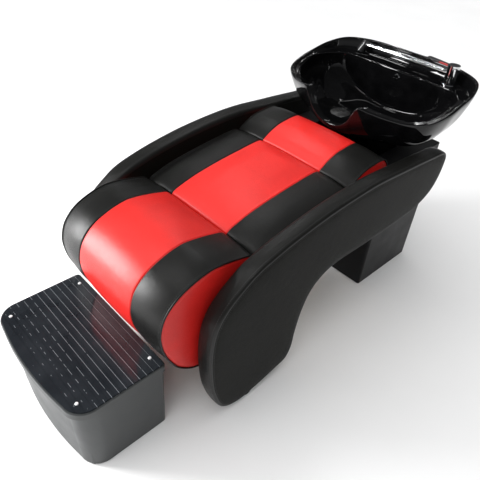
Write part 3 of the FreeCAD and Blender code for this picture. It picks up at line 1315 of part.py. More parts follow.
def make_stool():
    """Moulded footstool: tapered open-bottomed shell with a lip, ribs, bosses and posts."""
    half = S.stool_width / 2
    front = S.stool_back - S.stool_depth
    lip_base = S.stool_height - S.lip_height
    made = body("stool_body")
    low = sketch_on(made, "stool_low", "XY_Plane", S.stool_foot_height)
    stool_outline(low, half - S.lip_out - S.stool_taper, S.stool_back - S.lip_out / 2,
                  front + S.lip_front_out + S.stool_front_taper, S.stool_corner,
                  S.stool_back_corner, S.stool_bow)
    high = sketch_on(made, "stool_high", "XY_Plane", lip_base + S.lip_round)
    stool_outline(high, half - S.lip_out, S.stool_back - S.lip_out / 2, front + S.lip_front_out,
                  S.stool_corner, S.stool_back_corner, S.stool_bow)
    ruled_between(made, low, high)
    lip = sketch_on(made, "stool_lip", "XY_Plane", lip_base)
    edge = sketch_on(made, "stool_edge", "XY_Plane", S.stool_height - S.lip_round)
    brow = sketch_on(made, "stool_brow", "XY_Plane", S.stool_height)
    for sketch, inset in ((lip, ZERO), (edge, ZERO), (brow, S.lip_round / 2)):
        stool_outline(sketch, half - inset, S.stool_back - inset, front + inset,
                      S.stool_corner + S.lip_out - inset, S.stool_back_corner - inset,
                      S.stool_bow)
    pad(made, lip, S.lip_height - S.lip_round)
    ruled_between(made, edge, brow)
    under_top = S.stool_height - S.stool_wall
    inner_half = half - S.lip_out - S.stool_taper - S.stool_wall
    room_back = S.stool_back - S.lip_out / 2 - S.stool_wall
    room_front = front + S.lip_front_out + S.stool_front_taper + S.stool_wall
    room = sketch_on(made, "stool_room", "XY_Plane", S.stool_foot_height - S.overrun)
    stool_outline(room, inner_half, room_back, room_front, S.stool_corner - S.stool_wall,
                  S.stool_back_corner - S.stool_wall, S.stool_bow)
    pocket(made, room, under_top - S.stool_foot_height + S.overrun, reverse=True)
    extras = []
    for index, (x, y) in enumerate(stool_screw_places()):
        extras.append(rod(f"stool_boss_{index}", S.boss_radius, S.boss_depth, x, y,
                          under_top - S.boss_depth))
    for index, (x, y) in enumerate(stool_foot_places()):
        extras.append(rod(f"stool_post_{index}", S.stool_post_radius,
                          under_top - S.stool_foot_height, x, y, S.stool_foot_height))
    for index, x in enumerate([-S.rib_side, S.rib_side]):
        extras.append(box(f"stool_rib_{index}", S.rib_thick, room_back - room_front, S.rib_depth,
                          x - S.rib_thick / 2, room_front, under_top - S.rib_depth))
    extras.append(box("stool_cross_rib", inner_half * 2, S.rib_thick, S.rib_depth, -inner_half,
                      (room_back + room_front) / 2, under_top - S.rib_depth))
    holes = [rod(f"stool_hole_{i}", S.stool_screw_radius, S.stool_screw_length + S.overrun, x, y,
                 S.stool_height - S.stool_screw_length)
             for i, (x, y) in enumerate(stool_screw_places())]
    node(cut("footstool_shell", fuse("stool_solids", [made] + extras), holes), "footstool_shell")
    make_stool_mat(half, front)
    make_stool_fasteners()


def stool_screw_places():
    front = S.stool_back - S.stool_depth
    return [(x, y) for y in (front + S.stool_screw_front, S.stool_back - S.stool_screw_back)
            for x in (-S.stool_screw_side, S.stool_screw_side)]


def stool_foot_places():
    side = S.stool_width / 2 - S.lip_out - S.stool_post_inset
    front = S.stool_back - S.stool_depth + S.lip_front_out + S.stool_post_inset * 1.4
    back = S.stool_back - S.stool_post_inset
    return [(x, y) for y in (front, back) for x in (-side * 0.96, side * 0.96)]


def make_stool_mat(half, front):
    """Rubber tread with grooves across it."""
    mat = body("mat_body")
    sketch = sketch_on(mat, "mat_outline", "XY_Plane", S.stool_height)
    stool_outline(sketch, half - S.mat_inset, S.stool_back - S.mat_inset, front + S.mat_inset,
                  S.stool_corner, S.stool_back_corner - S.mat_inset / 2, S.stool_bow)
    pad(mat, sketch, S.mat_thick)
    first = front + S.groove_margin
    pitch = (S.stool_depth - S.groove_margin * 2) / (GROOVE_COUNT - 1)
    grooves = [box(f"mat_groove_{i}", S.stool_width, S.groove_width, S.groove_depth + S.overrun,
                   -half, first + pitch * i - S.groove_width / 2,
                   S.stool_height + S.mat_thick - S.groove_depth)
               for i in range(GROOVE_COUNT)]
    holes = [rod(f"mat_hole_{i}", S.stool_screw_radius + S.hole_play, S.mat_thick * 3, x, y,
                 S.stool_height - S.mat_thick)
             for i, (x, y) in enumerate(stool_screw_places())]
    grooved = cut("grooved_mat", mat, [together("mat_grooves", grooves)])
    node(cut("footstool_mat", grooved, [together("mat_holes", holes)]), "footstool_mat")


def make_stool_fasteners():
    """Screws that hold the tread, and the rubber feet under the posts."""
    top = S.stool_height + S.mat_thick
    screws = []
    for index, (x, y) in enumerate(stool_screw_places()):
        head = S.stool_screw_head_radius
        profile = [(ZERO, S.stool_height - S.stool_screw_length),
                   (S.stool_screw_radius, S.stool_height - S.stool_screw_length),
                   (S.stool_screw_radius, top), (head, top), (head * 0.75, top + S.stool_screw_head),
                   (ZERO, top + S.stool_screw_head)]
        screw = turned(f"stool_screw_{index}", profile)
        place(screw, x, y, ZERO)
        screws.append(screw)
    node(together("footstool_screws", screws), "footstool_screws")
    feet = []
    for index, (x, y) in enumerate(stool_foot_places()):
        profile = [(ZERO, ZERO), (S.stool_foot_radius - S.stool_foot_height / 4, ZERO),
                   (S.stool_foot_radius, S.stool_foot_height / 4),
                   (S.stool_foot_radius, S.stool_foot_height), (ZERO, S.stool_foot_height)]
        foot = turned(f"stool_foot_{index}", profile)
        place(foot, x, y, ZERO)
        feet.append(foot)
    node(together("footstool_feet", feet), "footstool_feet")


doc.recompute()
make_pedestal()
make_hatch()
make_glides()
make_frame()
make_boards()
make_calf_roll()
block_cushion("seat_cushion", S.crease_front, S.crease_front_height, S.crease_back,
              S.crease_back_height, seat_board_top, S.seat_middle_height)
make_head_cushion()
make_arm(1, "right")
make_arm(-1, "left")
make_feet()
make_bolts()
make_basin()
make_tilt_mount()
make_waste()
make_tap()
make_stool()

doc.recompute()
faulty = [item.Name for item in doc.Objects if {"Invalid", "Error"} & set(item.State)]
for name, item in nodes.items():
    if item.Shape.isNull() or not item.Shape.isValid():
        faulty.append(name)
if faulty:
    raise RuntimeError("faulty: " + ", ".join(faulty))
os.makedirs("parts", exist_ok=True)
for name, item in nodes.items():
    item.Shape.exportStep(f"parts/{name}.step")
    print(name, len(item.Shape.Solids), "solids", round(item.Shape.Volume / 1000, 1), "cm3")
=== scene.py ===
import json
import math

import bmesh
import bpy
import numpy as np
from mathutils import Matrix, Vector, noise
from mathutils.geometry import delaunay_2d_cdt
from mathutils.kdtree import KDTree


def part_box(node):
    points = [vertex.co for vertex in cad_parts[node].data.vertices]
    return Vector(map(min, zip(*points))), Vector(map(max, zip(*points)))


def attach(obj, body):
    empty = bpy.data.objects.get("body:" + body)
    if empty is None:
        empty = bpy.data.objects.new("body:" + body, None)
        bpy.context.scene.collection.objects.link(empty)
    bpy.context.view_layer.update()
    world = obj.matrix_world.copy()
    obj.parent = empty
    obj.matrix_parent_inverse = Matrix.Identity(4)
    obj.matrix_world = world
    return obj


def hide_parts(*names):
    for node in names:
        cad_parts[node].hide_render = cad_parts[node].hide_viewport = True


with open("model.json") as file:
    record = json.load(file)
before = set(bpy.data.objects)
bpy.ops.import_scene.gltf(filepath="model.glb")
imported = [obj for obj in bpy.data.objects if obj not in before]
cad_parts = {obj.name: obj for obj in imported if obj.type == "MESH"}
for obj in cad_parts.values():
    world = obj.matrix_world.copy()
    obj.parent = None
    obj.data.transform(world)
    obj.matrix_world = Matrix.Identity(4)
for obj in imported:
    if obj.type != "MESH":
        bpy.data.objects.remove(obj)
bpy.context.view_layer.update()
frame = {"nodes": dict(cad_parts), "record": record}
nodes = frame["nodes"]
MM = 0.001

# Camera of the reference photograph: where it stands, where it looks and how it is rolled.
CAMERA_PLACE = Vector((1.0033, -1.0860, 1.4879))
CAMERA_AZIMUTH = math.radians(44.16)
CAMERA_ELEVATION = math.radians(38.74)
CAMERA_ROLL = math.radians(4.71)
CAMERA_LENS = 37.91
CAMERA_SENSOR = 36

# Points worked out in each span of a curve, for an even and for a matched row.
SPAN_STEPS = 14
MATCHED_SPAN_STEPS = 40

# Cushions, across the bed: the middle strip, the band beside it and the piping at the side.
STRIP_HALF = 136.5 * MM
BAND_EDGE = 262 * MM
BAND_DROP = 11 * MM
CROWN = 3 * MM
SEAM_DEPTH = 2.6 * MM
SEAM_SPREAD = 1.7 * MM
SIDE_BULGE = 7 * MM
PIPING_RADIUS = 2.9 * MM
STITCH_LENGTH = 4.6 * MM
STITCH_PITCH = 7.2 * MM
STITCH_RADIUS = 0.55 * MM
STITCH_AROUND = 6
STITCH_INSET = 6.5 * MM
PILLOW_SHARE = 0.7
BAND_FALL_POWER = 1.9
PIPING_OUT = 0.6 * MM
PIPING_RISE = 0.4 * MM
PIPING_POINTS = 260
SIDE_STEP_OUT = 1.2 * MM
SIDE_DOME_POWER = 2.6
SIDE_CLOSE_SHARE = 0.97
CUSHION_POINTS = 220
CUSHION_SIDE_RINGS = 14

# The cloth simulation's coarse copy, and how its movement is carried over.
CLOTH_POINTS = 64
CLOTH_SIDE_RINGS = 4
HELD_SHARE = 0.25
SWELL_LIMIT = 5 * MM
SWELL_FRAMES = 20
SWELL_NEIGHBOURS = 5
SWELL_BLEND = 4 * MM
SWELL_SEAM_CALM = 6 * MM

# Pulls beside the seams and uneven stuffing.
PULL_HEIGHT = 0.55 * MM
PULL_REACH_SEAM = 16 * MM
PULL_REACH_SIDE = 20 * MM
LUMP_HEIGHT = 1.1 * MM

# How a cushion's outline is drawn in where its bands fall away: the roll to its front and
# towards its own axis, the others from both ends and down.
ROLL_DRAW_SHARE = 0.3
ROLL_DRAW_RISE_SHARE = 1.3
ROLL_AXIS_SHARE = 0.36
ROLL_LIFT_SHARE = 1.56
END_DRAW_SHARE = 0.24

# Outlines seen from the side, as shares of the cushion's own box: along Y and up.
ROLL_SHARES = [
    (1.0, 0.70), (1.0, 0.84), (0.992, 0.885), (0.955, 0.921), (0.87, 0.946), (0.752, 0.972),
    (0.62, 0.993), (0.505, 1.0), (0.33, 0.968), (0.156, 0.896), (0.041, 0.785), (-0.006, 0.654),
    (-0.006, 0.56), (0.016, 0.464), (0.058, 0.362), (0.112, 0.269), (0.165, 0.192), (0.228, 0.131),
    (0.31, 0.072), (0.389, 0.035), (0.5, 0.01), (0.59, 0.0), (0.625, 0.016), (0.66, 0.07),
    (0.80, 0.30), (0.97, 0.61),
]
SEAT_SHARES = [
    (0.03, 0.0), (0.0, 0.05), (0.0, 0.30), (0.004, 0.50), (0.03, 0.57), (0.09, 0.635),
    (0.25, 0.755), (0.5, 0.868), (0.75, 0.95), (0.91, 0.992), (0.965, 0.985), (0.996, 0.92),
    (1.0, 0.80), (1.0, 0.30), (1.0, 0.05), (0.97, 0.0),
]
HEAD_SHARES = [
    (0.03, 0.0), (0.0, 0.05), (0.0, 0.40), (0.0, 0.60), (0.012, 0.68), (0.05, 0.725),
    (0.15, 0.83), (0.324, 0.944), (0.45, 0.975), (0.56, 0.995), (0.64, 1.0), (0.71, 0.975),
    (0.775, 0.885), (0.84, 0.745), (0.92, 0.64), (0.985, 0.585), (1.0, 0.53), (1.0, 0.05),
    (0.97, 0.0),
]

# Arms: the outline as shares of their length and height, and how their edges are rounded.
ARM_FRONT = -491 * MM
ARM_BACK = 652 * MM
ARM_LOW = 22 * MM
ARM_HIGH = 659 * MM
ARM_INNER_ROUND = 16 * MM
ARM_OUTER_ROUND = 7 * MM
ARM_BAND_CROWN = 1.6 * MM
ARM_PANEL_CROWN = 4.5 * MM
ARM_INNER_CROWN_SHARE = 0.6
ARM_POINTS = 300
ARM_INNER_STEPS = 8
ARM_BAND_STEPS = 8
ARM_OUTER_STEPS = 6
ARM_SEAM_GROOVE = [(0.7 * MM, 1.3 * MM), (1.1 * MM, 2.3 * MM), (0.2 * MM, 3.6 * MM)]
ARM_BAND_STITCH = 3.5 * MM
ARM_PANEL_STITCH = 7 * MM
ARM_STITCH_LIFT = 0.4 * MM
PANEL_PITCH = 13 * MM
PANEL_CLEARANCE = 9 * MM
PANEL_RISE_REACH = 26 * MM
PANEL_WAVE = 0.9 * MM
PANEL_WAVE_REACH = 30 * MM
FOLD_START = -180 * MM
FOLD_REACH = 220 * MM
FOLD_HEIGHT = 0.75 * MM
BEND_HEIGHT = 0.8 * MM
ARM_OUTLINE_SHARES = [
    (0.111, 0.000), (0.054, 0.050), (0.018, 0.200), (0.003, 0.365), (0.000, 0.523),
    (0.008, 0.635), (0.026, 0.712), (0.056, 0.776), (0.089, 0.822), (0.134, 0.873),
    (0.210, 0.917), (0.310, 0.955), (0.412, 0.981), (0.589, 1.000), (0.743, 0.985),
    (0.900, 0.965), (0.978, 0.948), (0.999, 0.912), (0.998, 0.800), (0.972, 0.702),
    (0.905, 0.634), (0.764, 0.606), (0.597, 0.600), (0.470, 0.598), (0.415, 0.568),
    (0.376, 0.510), (0.350, 0.400), (0.336, 0.250), (0.330, 0.130), (0.311, 0.062),
    (0.260, 0.036), (0.190, 0.010),
]

# Basin: half of its rim from the neck notch to the back, as shares of the half width, the depth
# and the rise from the notch; then half of the bowl's upper edge, with how squarely it drops.
RIM_SHARES = [
    (0.000, 0.030, 0.000), (0.130, 0.026, 0.061), (0.229, 0.015, 0.245), (0.284, 0.004, 0.472),
    (0.342, 0.000, 0.644), (0.435, 0.034, 0.601), (0.609, 0.111, 0.509), (0.777, 0.185, 0.472),
    (0.933, 0.275, 0.534), (0.997, 0.423, 0.638), (1.000, 0.574, 0.748), (0.983, 0.734, 0.853),
    (0.887, 0.885, 0.945), (0.652, 0.970, 0.988), (0.333, 0.996, 1.000), (0.000, 1.000, 1.000),
]
RECESS_SHARES = [
    (0.000, 0.090, 0.70), (0.122, 0.086, 0.70), (0.220, 0.080, 0.75), (0.278, 0.078, 0.80),
    (0.345, 0.087, 0.85), (0.435, 0.120, 0.90), (0.594, 0.195, 0.95), (0.725, 0.250, 1.00),
    (0.855, 0.330, 1.00), (0.900, 0.430, 1.00), (0.905, 0.530, 1.00), (0.880, 0.630, 1.05),
    (0.820, 0.725, 1.30), (0.690, 0.795, 2.20), (0.400, 0.812, 3.40), (0.000, 0.812, 3.60),
]
OUTER_SHARES = [
    (0.55, 0.50, 0.00), (0.72, 0.66, 0.10), (0.845, 0.80, 0.28), (0.925, 0.90, 0.52),
    (0.972, 0.965, 0.76), (0.995, 0.994, 0.91), (1.000, 1.000, 0.965),
]
# The rim's round: along the wall's thickness, at most along the way to the bowl, and up.
RIM_ROUND_SHARES = [
    (0.06, 0.03, -0.02), (0.25, 0.10, 0.04), (0.55, 0.22, 0.06), (0.85, 0.36, 0.03),
    (1.02, 0.44, -0.08), (1.18, 0.50, -0.40),
]
UNDERSIDE_WIDTH_SHARE = 0.55
UNDERSIDE_DEPTH_SHARE = 0.5
UNDERSIDE_STEP_SHARES = (0.4, 0.8)
LEDGE_WALL_SHARE = 1.9
LEDGE_REACH_SHARE = 0.8
LEDGE_LEAST = 8 * MM
LEDGE_STEP = 6 * MM
LEDGE_RISE = 2 * MM
LEDGE_FALL = 0.5 * MM
LIP_STEP = 5 * MM
LIP_ROUND = 1.4 * MM
LIP_DROP = 0.35 * MM
BASIN_CENTRE_SHARE = 0.56
BASIN_HALF = 345 * MM
BASIN_FRONT = 346 * MM
BASIN_BACK = 875 * MM
NOTCH_HEIGHT = 679 * MM
RIM_HEIGHT = 842 * MM
BASIN_BOTTOM = 612 * MM
FLOOR_HEIGHT = 628 * MM
DECK_HEIGHT = 790 * MM
BASIN_WALL = 13 * MM
BOWL_STEPS = 34
FLOOR_REACH_SHARE = 0.78
BOWL_STEP_POWER = 2.6
BACK_WALL_POWER = 60
BACK_WALL_ROUND_POWER = 0.4
BACK_WALL_START_SHARE = 0.62
BACK_WALL_BLEND_SHARE = 0.17
TROUGH_POWER = 0.385
TROUGH_LEAST_HALF = 60 * MM
DRAIN_FLAT_INNER = 60 * MM
DRAIN_FLAT_OUTER = 190 * MM
FLANGE_HOLE = 48.8 * MM
FLANGE_DEPTH = 3 * MM
WASTE_HOLE = 21.5 * MM
PROFILE_PARTS = (0.0, 0.33, 0.67)
SHORT_PROFILE_SPLIT = 17
BASIN_POINTS = 360
DRAIN = Vector((-98 * MM, 572 * MM, FLOOR_HEIGHT))

# The footstool's tread.
TREAD_LINES = 13
TREAD_INSET = 5 * MM
TREAD_MARGIN_FULL = 20 * MM
TREAD_MARGIN = TREAD_MARGIN_FULL - TREAD_INSET
TREAD_LINE_HALF = 0.7 * MM
TREAD_LINE_CORE_SHARE = 0.6
TREAD_DASHED_SHARE = 0.6

# Room: the floor, the sky's light, and the lamps. A lamp has a place, what it points at, its
# width, height and watts, and whether it lights matt surfaces too or only shines in glossy ones.
FLOOR_HALF = 9.0
FLOOR_CELLS = 24
SKY_ENERGY = 3.8
SKY_ANGLE = math.radians(105)
SKY_DIRECTION = Vector((0.2, 0.5, -1))
LAMPS = {
    "front_left": ((-2.6, -2.9, 1.35), (-0.05, -0.5, 0.4), 1.0, 2.0, 230, True),
    "window": ((-0.75, 0.43, 2.02), (0.0, 0.7, 0.7), 0.12, 0.15, 3, False),
    "front_strip": ((-0.55, -1.02, 3.0), (0, 0.7, 0.7), 1.5, 0.04, 10, False),
    "behind_strip": ((-1.3, 3.0, 2.3), (0, 0.6, 0.8), 0.04, 2.6, 5, False),
    "over_strip": ((-2.4, 1.4, 2.7), (0, 0.6, 0.8), 2.0, 0.04, 5, False),
}


def box_size(name):
    """A node's lowest and highest corner and the size between them."""
    low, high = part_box(name)
    return low, high, high - low


def smooth_loop(points, count):
    """Even points along a closed centripetal Catmull-Rom curve through a row of points."""
    points = np.array(points, float)
    total = len(points)
    fine = []
    for index in range(total):
        a, b, c, d = (points[(index + step) % total] for step in (-1, 0, 1, 2))
        knots = [0.0]
        for first, second in ((a, b), (b, c), (c, d)):
            knots.append(knots[-1] + max(np.linalg.norm(second - first), 1e-9) ** 0.5)
        for t in np.linspace(knots[1], knots[2], SPAN_STEPS, endpoint=False):
            a1 = (a * (knots[1] - t) + b * (t - knots[0])) / (knots[1] - knots[0])
            a2 = (b * (knots[2] - t) + c * (t - knots[1])) / (knots[2] - knots[1])
            a3 = (c * (knots[3] - t) + d * (t - knots[2])) / (knots[3] - knots[2])
            b1 = (a1 * (knots[2] - t) + a2 * (t - knots[0])) / (knots[2] - knots[0])
            b2 = (a2 * (knots[3] - t) + a3 * (t - knots[1])) / (knots[3] - knots[1])
            fine.append((b1 * (knots[2] - t) + b2 * (t - knots[1])) / (knots[2] - knots[1]))
    fine.append(points[0])
    fine = np.array(fine)
    gone = np.concatenate([[0], np.cumsum(np.linalg.norm(np.diff(fine, axis=0), axis=1))])
    wanted = np.linspace(0, gone[-1], count, endpoint=False)
    return np.stack([np.interp(wanted, gone, fine[:, k]) for k in range(points.shape[1])], axis=1)


def make_piece(name, points, faces, materials, picks=None):
    """A smooth mesh object from points and faces; picks gives each face's material."""
    mesh = bpy.data.meshes.new(name)
    mesh.from_pydata([tuple(p) for p in points], [], [tuple(f) for f in faces])
    for material in materials:
        mesh.materials.append(material)
    if picks is not None:
        mesh.polygons.foreach_set("material_index", picks)
    made = bpy.data.objects.new(name, mesh)
    bpy.context.scene.collection.objects.link(made)
    work = bmesh.new()
    work.from_mesh(mesh)
    bmesh.ops.remove_doubles(work, verts=work.verts, dist=1e-6)
    bmesh.ops.recalc_face_normals(work, faces=work.faces)
    work.to_mesh(mesh)
    work.free()
    mesh.polygons.foreach_set("use_smooth", [True] * len(mesh.polygons))
    mesh.update()
    return made


def ring_faces(rings, around):
    """Quads between rings of equal length that follow each other in one list of points."""
    faces = []
    for ring in range(rings - 1):
        for index in range(around):
            after = (index + 1) % around
            low = ring * around
            faces.append((low + index, low + after, low + around + after, low + around + index))
    return faces


def finish_piece(piece, body, slot, *replaced):
    """Ties a piece to its body and hides the nodes that it stands for; the slot is not used."""
    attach(piece, body)
    if replaced:
        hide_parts(*replaced)


def tube_along(line, radius, around=10):
    """Points and faces of a round tube along a closed line of points."""
    line = np.array(line, float)
    count = len(line)
    points = []
    for index in range(count):
        way = Vector(line[(index + 1) % count] - line[index - 1]).normalized()
        first = way.cross(Vector((1, 0, 0)))
        first = (first if first.length > 0.2 else way.cross(Vector((0, 0, 1)))).normalized()
        second = way.cross(first)
        for step in range(around):
            angle = 2 * math.pi * step / around
            points.append(Vector(line[index]) + first * radius * math.cos(angle)
                          + second * radius * math.sin(angle))
    last = (count - 1) * around
    faces = ring_faces(count, around)
    faces += [(last + i, last + (i + 1) % around, (i + 1) % around, i) for i in range(around)]
    return points, faces


def stitch_row(line, ups):
    """Short thread loops along a closed line, each a small spindle that lies on the surface."""
    line = np.array(line, float)
    line = np.vstack([line, line[:1]])
    gone = np.concatenate([[0], np.cumsum(np.linalg.norm(np.diff(line, axis=0), axis=1))])
    ups = np.array(ups, float)
    ups = np.vstack([ups, ups[:1]])
    points = []
    faces = []
    shape = [(-1.0, 0.25), (-0.7, 0.85), (0.0, 1.0), (0.7, 0.85), (1.0, 0.25)]
    for middle in np.arange(STITCH_PITCH, gone[-1], STITCH_PITCH):
        spot = Vector([np.interp(middle, gone, line[:, k]) for k in range(3)])
        ahead = Vector([np.interp(middle + STITCH_LENGTH / 2, gone, line[:, k])
                        for k in range(3)])
        up = Vector([np.interp(middle, gone, ups[:, k]) for k in range(3)]).normalized()
        way = (ahead - spot).normalized()
        side = way.cross(up).normalized()
        base = len(points)
        for along, size in shape:
            rise = STITCH_RADIUS * (0.5 - 0.9 * along * along)
            for step in range(STITCH_AROUND):
                angle = math.pi * 2 * step / STITCH_AROUND
                points.append(spot + way * along * STITCH_LENGTH / 2 + up * rise
                              + (side * math.cos(angle) + up * math.sin(angle))
                              * STITCH_RADIUS * size)
        faces += [tuple(base + i for i in face) for face in ring_faces(len(shape), STITCH_AROUND)]
        faces.append(tuple(base + i for i in range(STITCH_AROUND)))
        last = base + (len(shape) - 1) * STITCH_AROUND
        faces.append(tuple(last + i for i in range(STITCH_AROUND)))
    return points, faces


def merged(parts):
    """One list of points and faces from several."""
    points = []
    faces = []
    for some_points, some_faces in parts:
        base = len(points)
        points += list(some_points)
        faces += [tuple(base + i for i in face) for face in some_faces]
    return points, faces


# Materials

def new_material(name):
    """A material with its tree, its shader and the object's own coordinates."""
    made = bpy.data.materials.new(name)
    made.use_nodes = True
    tree = made.node_tree
    shader = next(n for n in tree.nodes if n.type == "BSDF_PRINCIPLED")
    coordinates = tree.nodes.new("ShaderNodeTexCoord")
    return made, tree, shader, coordinates.outputs["Object"]


def texture(tree, kind, source, **settings):
    """A texture node; each setting is an input's value or a property."""
    made = tree.nodes.new(kind)
    for name, value in settings.items():
        if name in made.inputs:
            made.inputs[name].default_value = value
        else:
            setattr(made, name, value)
    tree.links.new(source, made.inputs["Vector"])
    return made


def spread(tree, source, low, high, from_low=0.3, from_high=0.7):
    """Maps a texture's value to a range."""
    made = tree.nodes.new("ShaderNodeMapRange")
    for name, value in (("From Min", from_low), ("From Max", from_high), ("To Min", low),
                        ("To Max", high)):
        made.inputs[name].default_value = value
    tree.links.new(source, made.inputs["Value"])
    return made.outputs["Result"]


def mixed(tree, factor, first, second):
    """Two colours, fixed or from the tree, blended by a factor."""
    made = tree.nodes.new("ShaderNodeMix")
    made.data_type = "RGBA"
    tree.links.new(factor, made.inputs["Factor"])
    for socket, colour in (("A", first), ("B", second)):
        target = next(i for i in made.inputs if i.name == socket and i.type == "RGBA")
        if hasattr(colour, "links"):
            tree.links.new(colour, target)
        else:
            target.default_value = (*colour, 1)
    return next(o for o in made.outputs if o.type == "RGBA")


def add_bump(tree, shader, height, strength, distance, before=None):
    """Fine relief on the shader, laid over an earlier one where that is given."""
    made = tree.nodes.new("ShaderNodeBump")
    made.inputs["Strength"].default_value = strength
    made.inputs["Distance"].default_value = distance
    tree.links.new(height, made.inputs["Height"])
    if before is not None:
        tree.links.new(before, made.inputs["Normal"])
    tree.links.new(made.outputs["Normal"], shader.inputs["Normal"])
    return made.outputs["Normal"]


def scaled(colour, factor):
    return tuple(min(c * factor, 1) for c in colour)


def leather(name, colour, rough, grain, depth, soft, gloss):
    """Upholstery leather: pebbled grain, faint creases and a colour that isn't quite even."""
    made, tree, shader, place = new_material(name)
    cloudy = texture(tree, "ShaderNodeTexNoise", place, Scale=9.0, Detail=4.0)
    fine = texture(tree, "ShaderNodeTexNoise", place, Scale=260.0, Detail=3.0)
    shade = mixed(tree, spread(tree, cloudy.outputs["Fac"], 0, 1), scaled(colour, 0.88),
                  scaled(colour, 1.08))
    shade = mixed(tree, spread(tree, fine.outputs["Fac"], 0, 0.5), shade, scaled(colour, 0.8))
    tree.links.new(shade, shader.inputs["Base Color"])
    tree.links.new(spread(tree, fine.outputs["Fac"], rough - 0.05, rough + 0.07),
                   shader.inputs["Roughness"])
    pebbles = texture(tree, "ShaderNodeTexVoronoi", place, Scale=grain,
                      feature="DISTANCE_TO_EDGE")
    crease = texture(tree, "ShaderNodeTexNoise", place, Scale=34.0, Detail=5.0)
    normal = add_bump(tree, shader, spread(tree, pebbles.outputs["Distance"], 0, 1, 0, 0.25),
                      0.35, depth)
    add_bump(tree, shader, crease.outputs["Fac"], 0.5, soft, normal)
    shader.inputs["Specular IOR Level"].default_value = gloss
    return made


def satin(name, colour, rough, metal=0.0, scale=120.0, depth=0.00005, vary=0.12, gloss=0.5):
    """Moulded, painted or turned surfaces with a fine texture and uneven gloss."""
    made, tree, shader, place = new_material(name)
    cloudy = texture(tree, "ShaderNodeTexNoise", place, Scale=12.0, Detail=4.0)
    fine = texture(tree, "ShaderNodeTexNoise", place, Scale=scale * 8, Detail=3.0)
    shade = mixed(tree, spread(tree, cloudy.outputs["Fac"], 0, 1), scaled(colour, 1 - vary),
                  scaled(colour, 1 + vary))
    tree.links.new(shade, shader.inputs["Base Color"])
    tree.links.new(spread(tree, cloudy.outputs["Fac"], rough * 0.88, rough * 1.15),
                   shader.inputs["Roughness"])
    shader.inputs["Metallic"].default_value = metal
    shader.inputs["Specular IOR Level"].default_value = gloss
    add_bump(tree, shader, fine.outputs["Fac"], 0.4, depth)
    return made


def plywood():
    """Birch plywood with long grain along Y and darker streaks."""
    made, tree, shader, place = new_material("plywood")
    mapping = tree.nodes.new("ShaderNodeMapping")
    mapping.inputs["Scale"].default_value = (40, 3, 300)
    tree.links.new(place, mapping.inputs["Vector"])
    grain = texture(tree, "ShaderNodeTexNoise", mapping.outputs["Vector"], Scale=3.0, Detail=6.0)
    shade = mixed(tree, spread(tree, grain.outputs["Fac"], 0, 1), (0.47, 0.32, 0.18),
                  (0.68, 0.52, 0.34))
    tree.links.new(shade, shader.inputs["Base Color"])
    shader.inputs["Roughness"].default_value = 0.62
    add_bump(tree, shader, grain.outputs["Fac"], 0.3, 0.0002)
    return made


def ceramic():
    """Glazed black ceramic: deep gloss with a very slight waviness."""
    made, tree, shader, place = new_material("black_ceramic")
    wave = texture(tree, "ShaderNodeTexNoise", place, Scale=22.0, Detail=2.0)
    specks = texture(tree, "ShaderNodeTexNoise", place, Scale=900.0, Detail=2.0)
    shade = mixed(tree, spread(tree, wave.outputs["Fac"], 0, 1), (0.0016, 0.0016, 0.0018),
                  (0.0034, 0.0034, 0.0037))
    tree.links.new(shade, shader.inputs["Base Color"])
    tree.links.new(spread(tree, specks.outputs["Fac"], 0.018, 0.045), shader.inputs["Roughness"])
    add_bump(tree, shader, wave.outputs["Fac"], 0.2, 0.0003)
    shader.inputs["Specular IOR Level"].default_value = 0.36
    return made


def calculated(tree, operation, first, second):
    """The result of a sum on two values, fixed or from the tree."""
    made = tree.nodes.new("ShaderNodeMath")
    made.operation = operation
    for place, value in enumerate((first, second)):
        if hasattr(value, "links"):
            tree.links.new(value, made.inputs[place])
        else:
            made.inputs[place].default_value = value
    return made.outputs[0]


def tread():
    """Slate rubber with paler lines across it, whole at the back and worn to dashes in front."""
    made, tree, shader, place = new_material("mat_rubber")
    split = tree.nodes.new("ShaderNodeSeparateXYZ")
    tree.links.new(place, split.inputs["Vector"])
    low, _high, size = box_size("footstool_mat")
    pitch = (size.y + TREAD_INSET * 2 - TREAD_MARGIN_FULL * 2) / (TREAD_LINES - 1)
    shift = calculated(tree, "SUBTRACT", split.outputs["Y"], low.y + TREAD_MARGIN - pitch / 2)
    line = spread(tree, calculated(tree, "PINGPONG", shift, pitch / 2), 0, 1,
                  pitch / 2 - TREAD_LINE_HALF, pitch / 2 - TREAD_LINE_HALF * TREAD_LINE_CORE_SHARE)
    dashes = texture(tree, "ShaderNodeTexNoise", place, Scale=48.0, Detail=2.0)
    fade = spread(tree, split.outputs["Y"], 0.66, 0.30, low.y,
                  low.y + size.y * TREAD_DASHED_SHARE)
    broken = calculated(tree, "GREATER_THAN", dashes.outputs["Fac"], fade)
    shown = calculated(tree, "MULTIPLY", line, broken)
    cloudy = texture(tree, "ShaderNodeTexNoise", place, Scale=14.0, Detail=5.0)
    fine = texture(tree, "ShaderNodeTexNoise", place, Scale=1100.0, Detail=2.0)
    ground = mixed(tree, spread(tree, cloudy.outputs["Fac"], 0, 1), (0.010, 0.012, 0.015),
                   (0.018, 0.021, 0.025))
    shade = mixed(tree, shown, ground, (0.18, 0.195, 0.21))
    tree.links.new(shade, shader.inputs["Base Color"])
    tree.links.new(spread(tree, cloudy.outputs["Fac"], 0.11, 0.16), shader.inputs["Roughness"])
    shader.inputs["Specular IOR Level"].default_value = 0.4
    add_bump(tree, shader, fine.outputs["Fac"], 0.3, 0.00003)
    return made


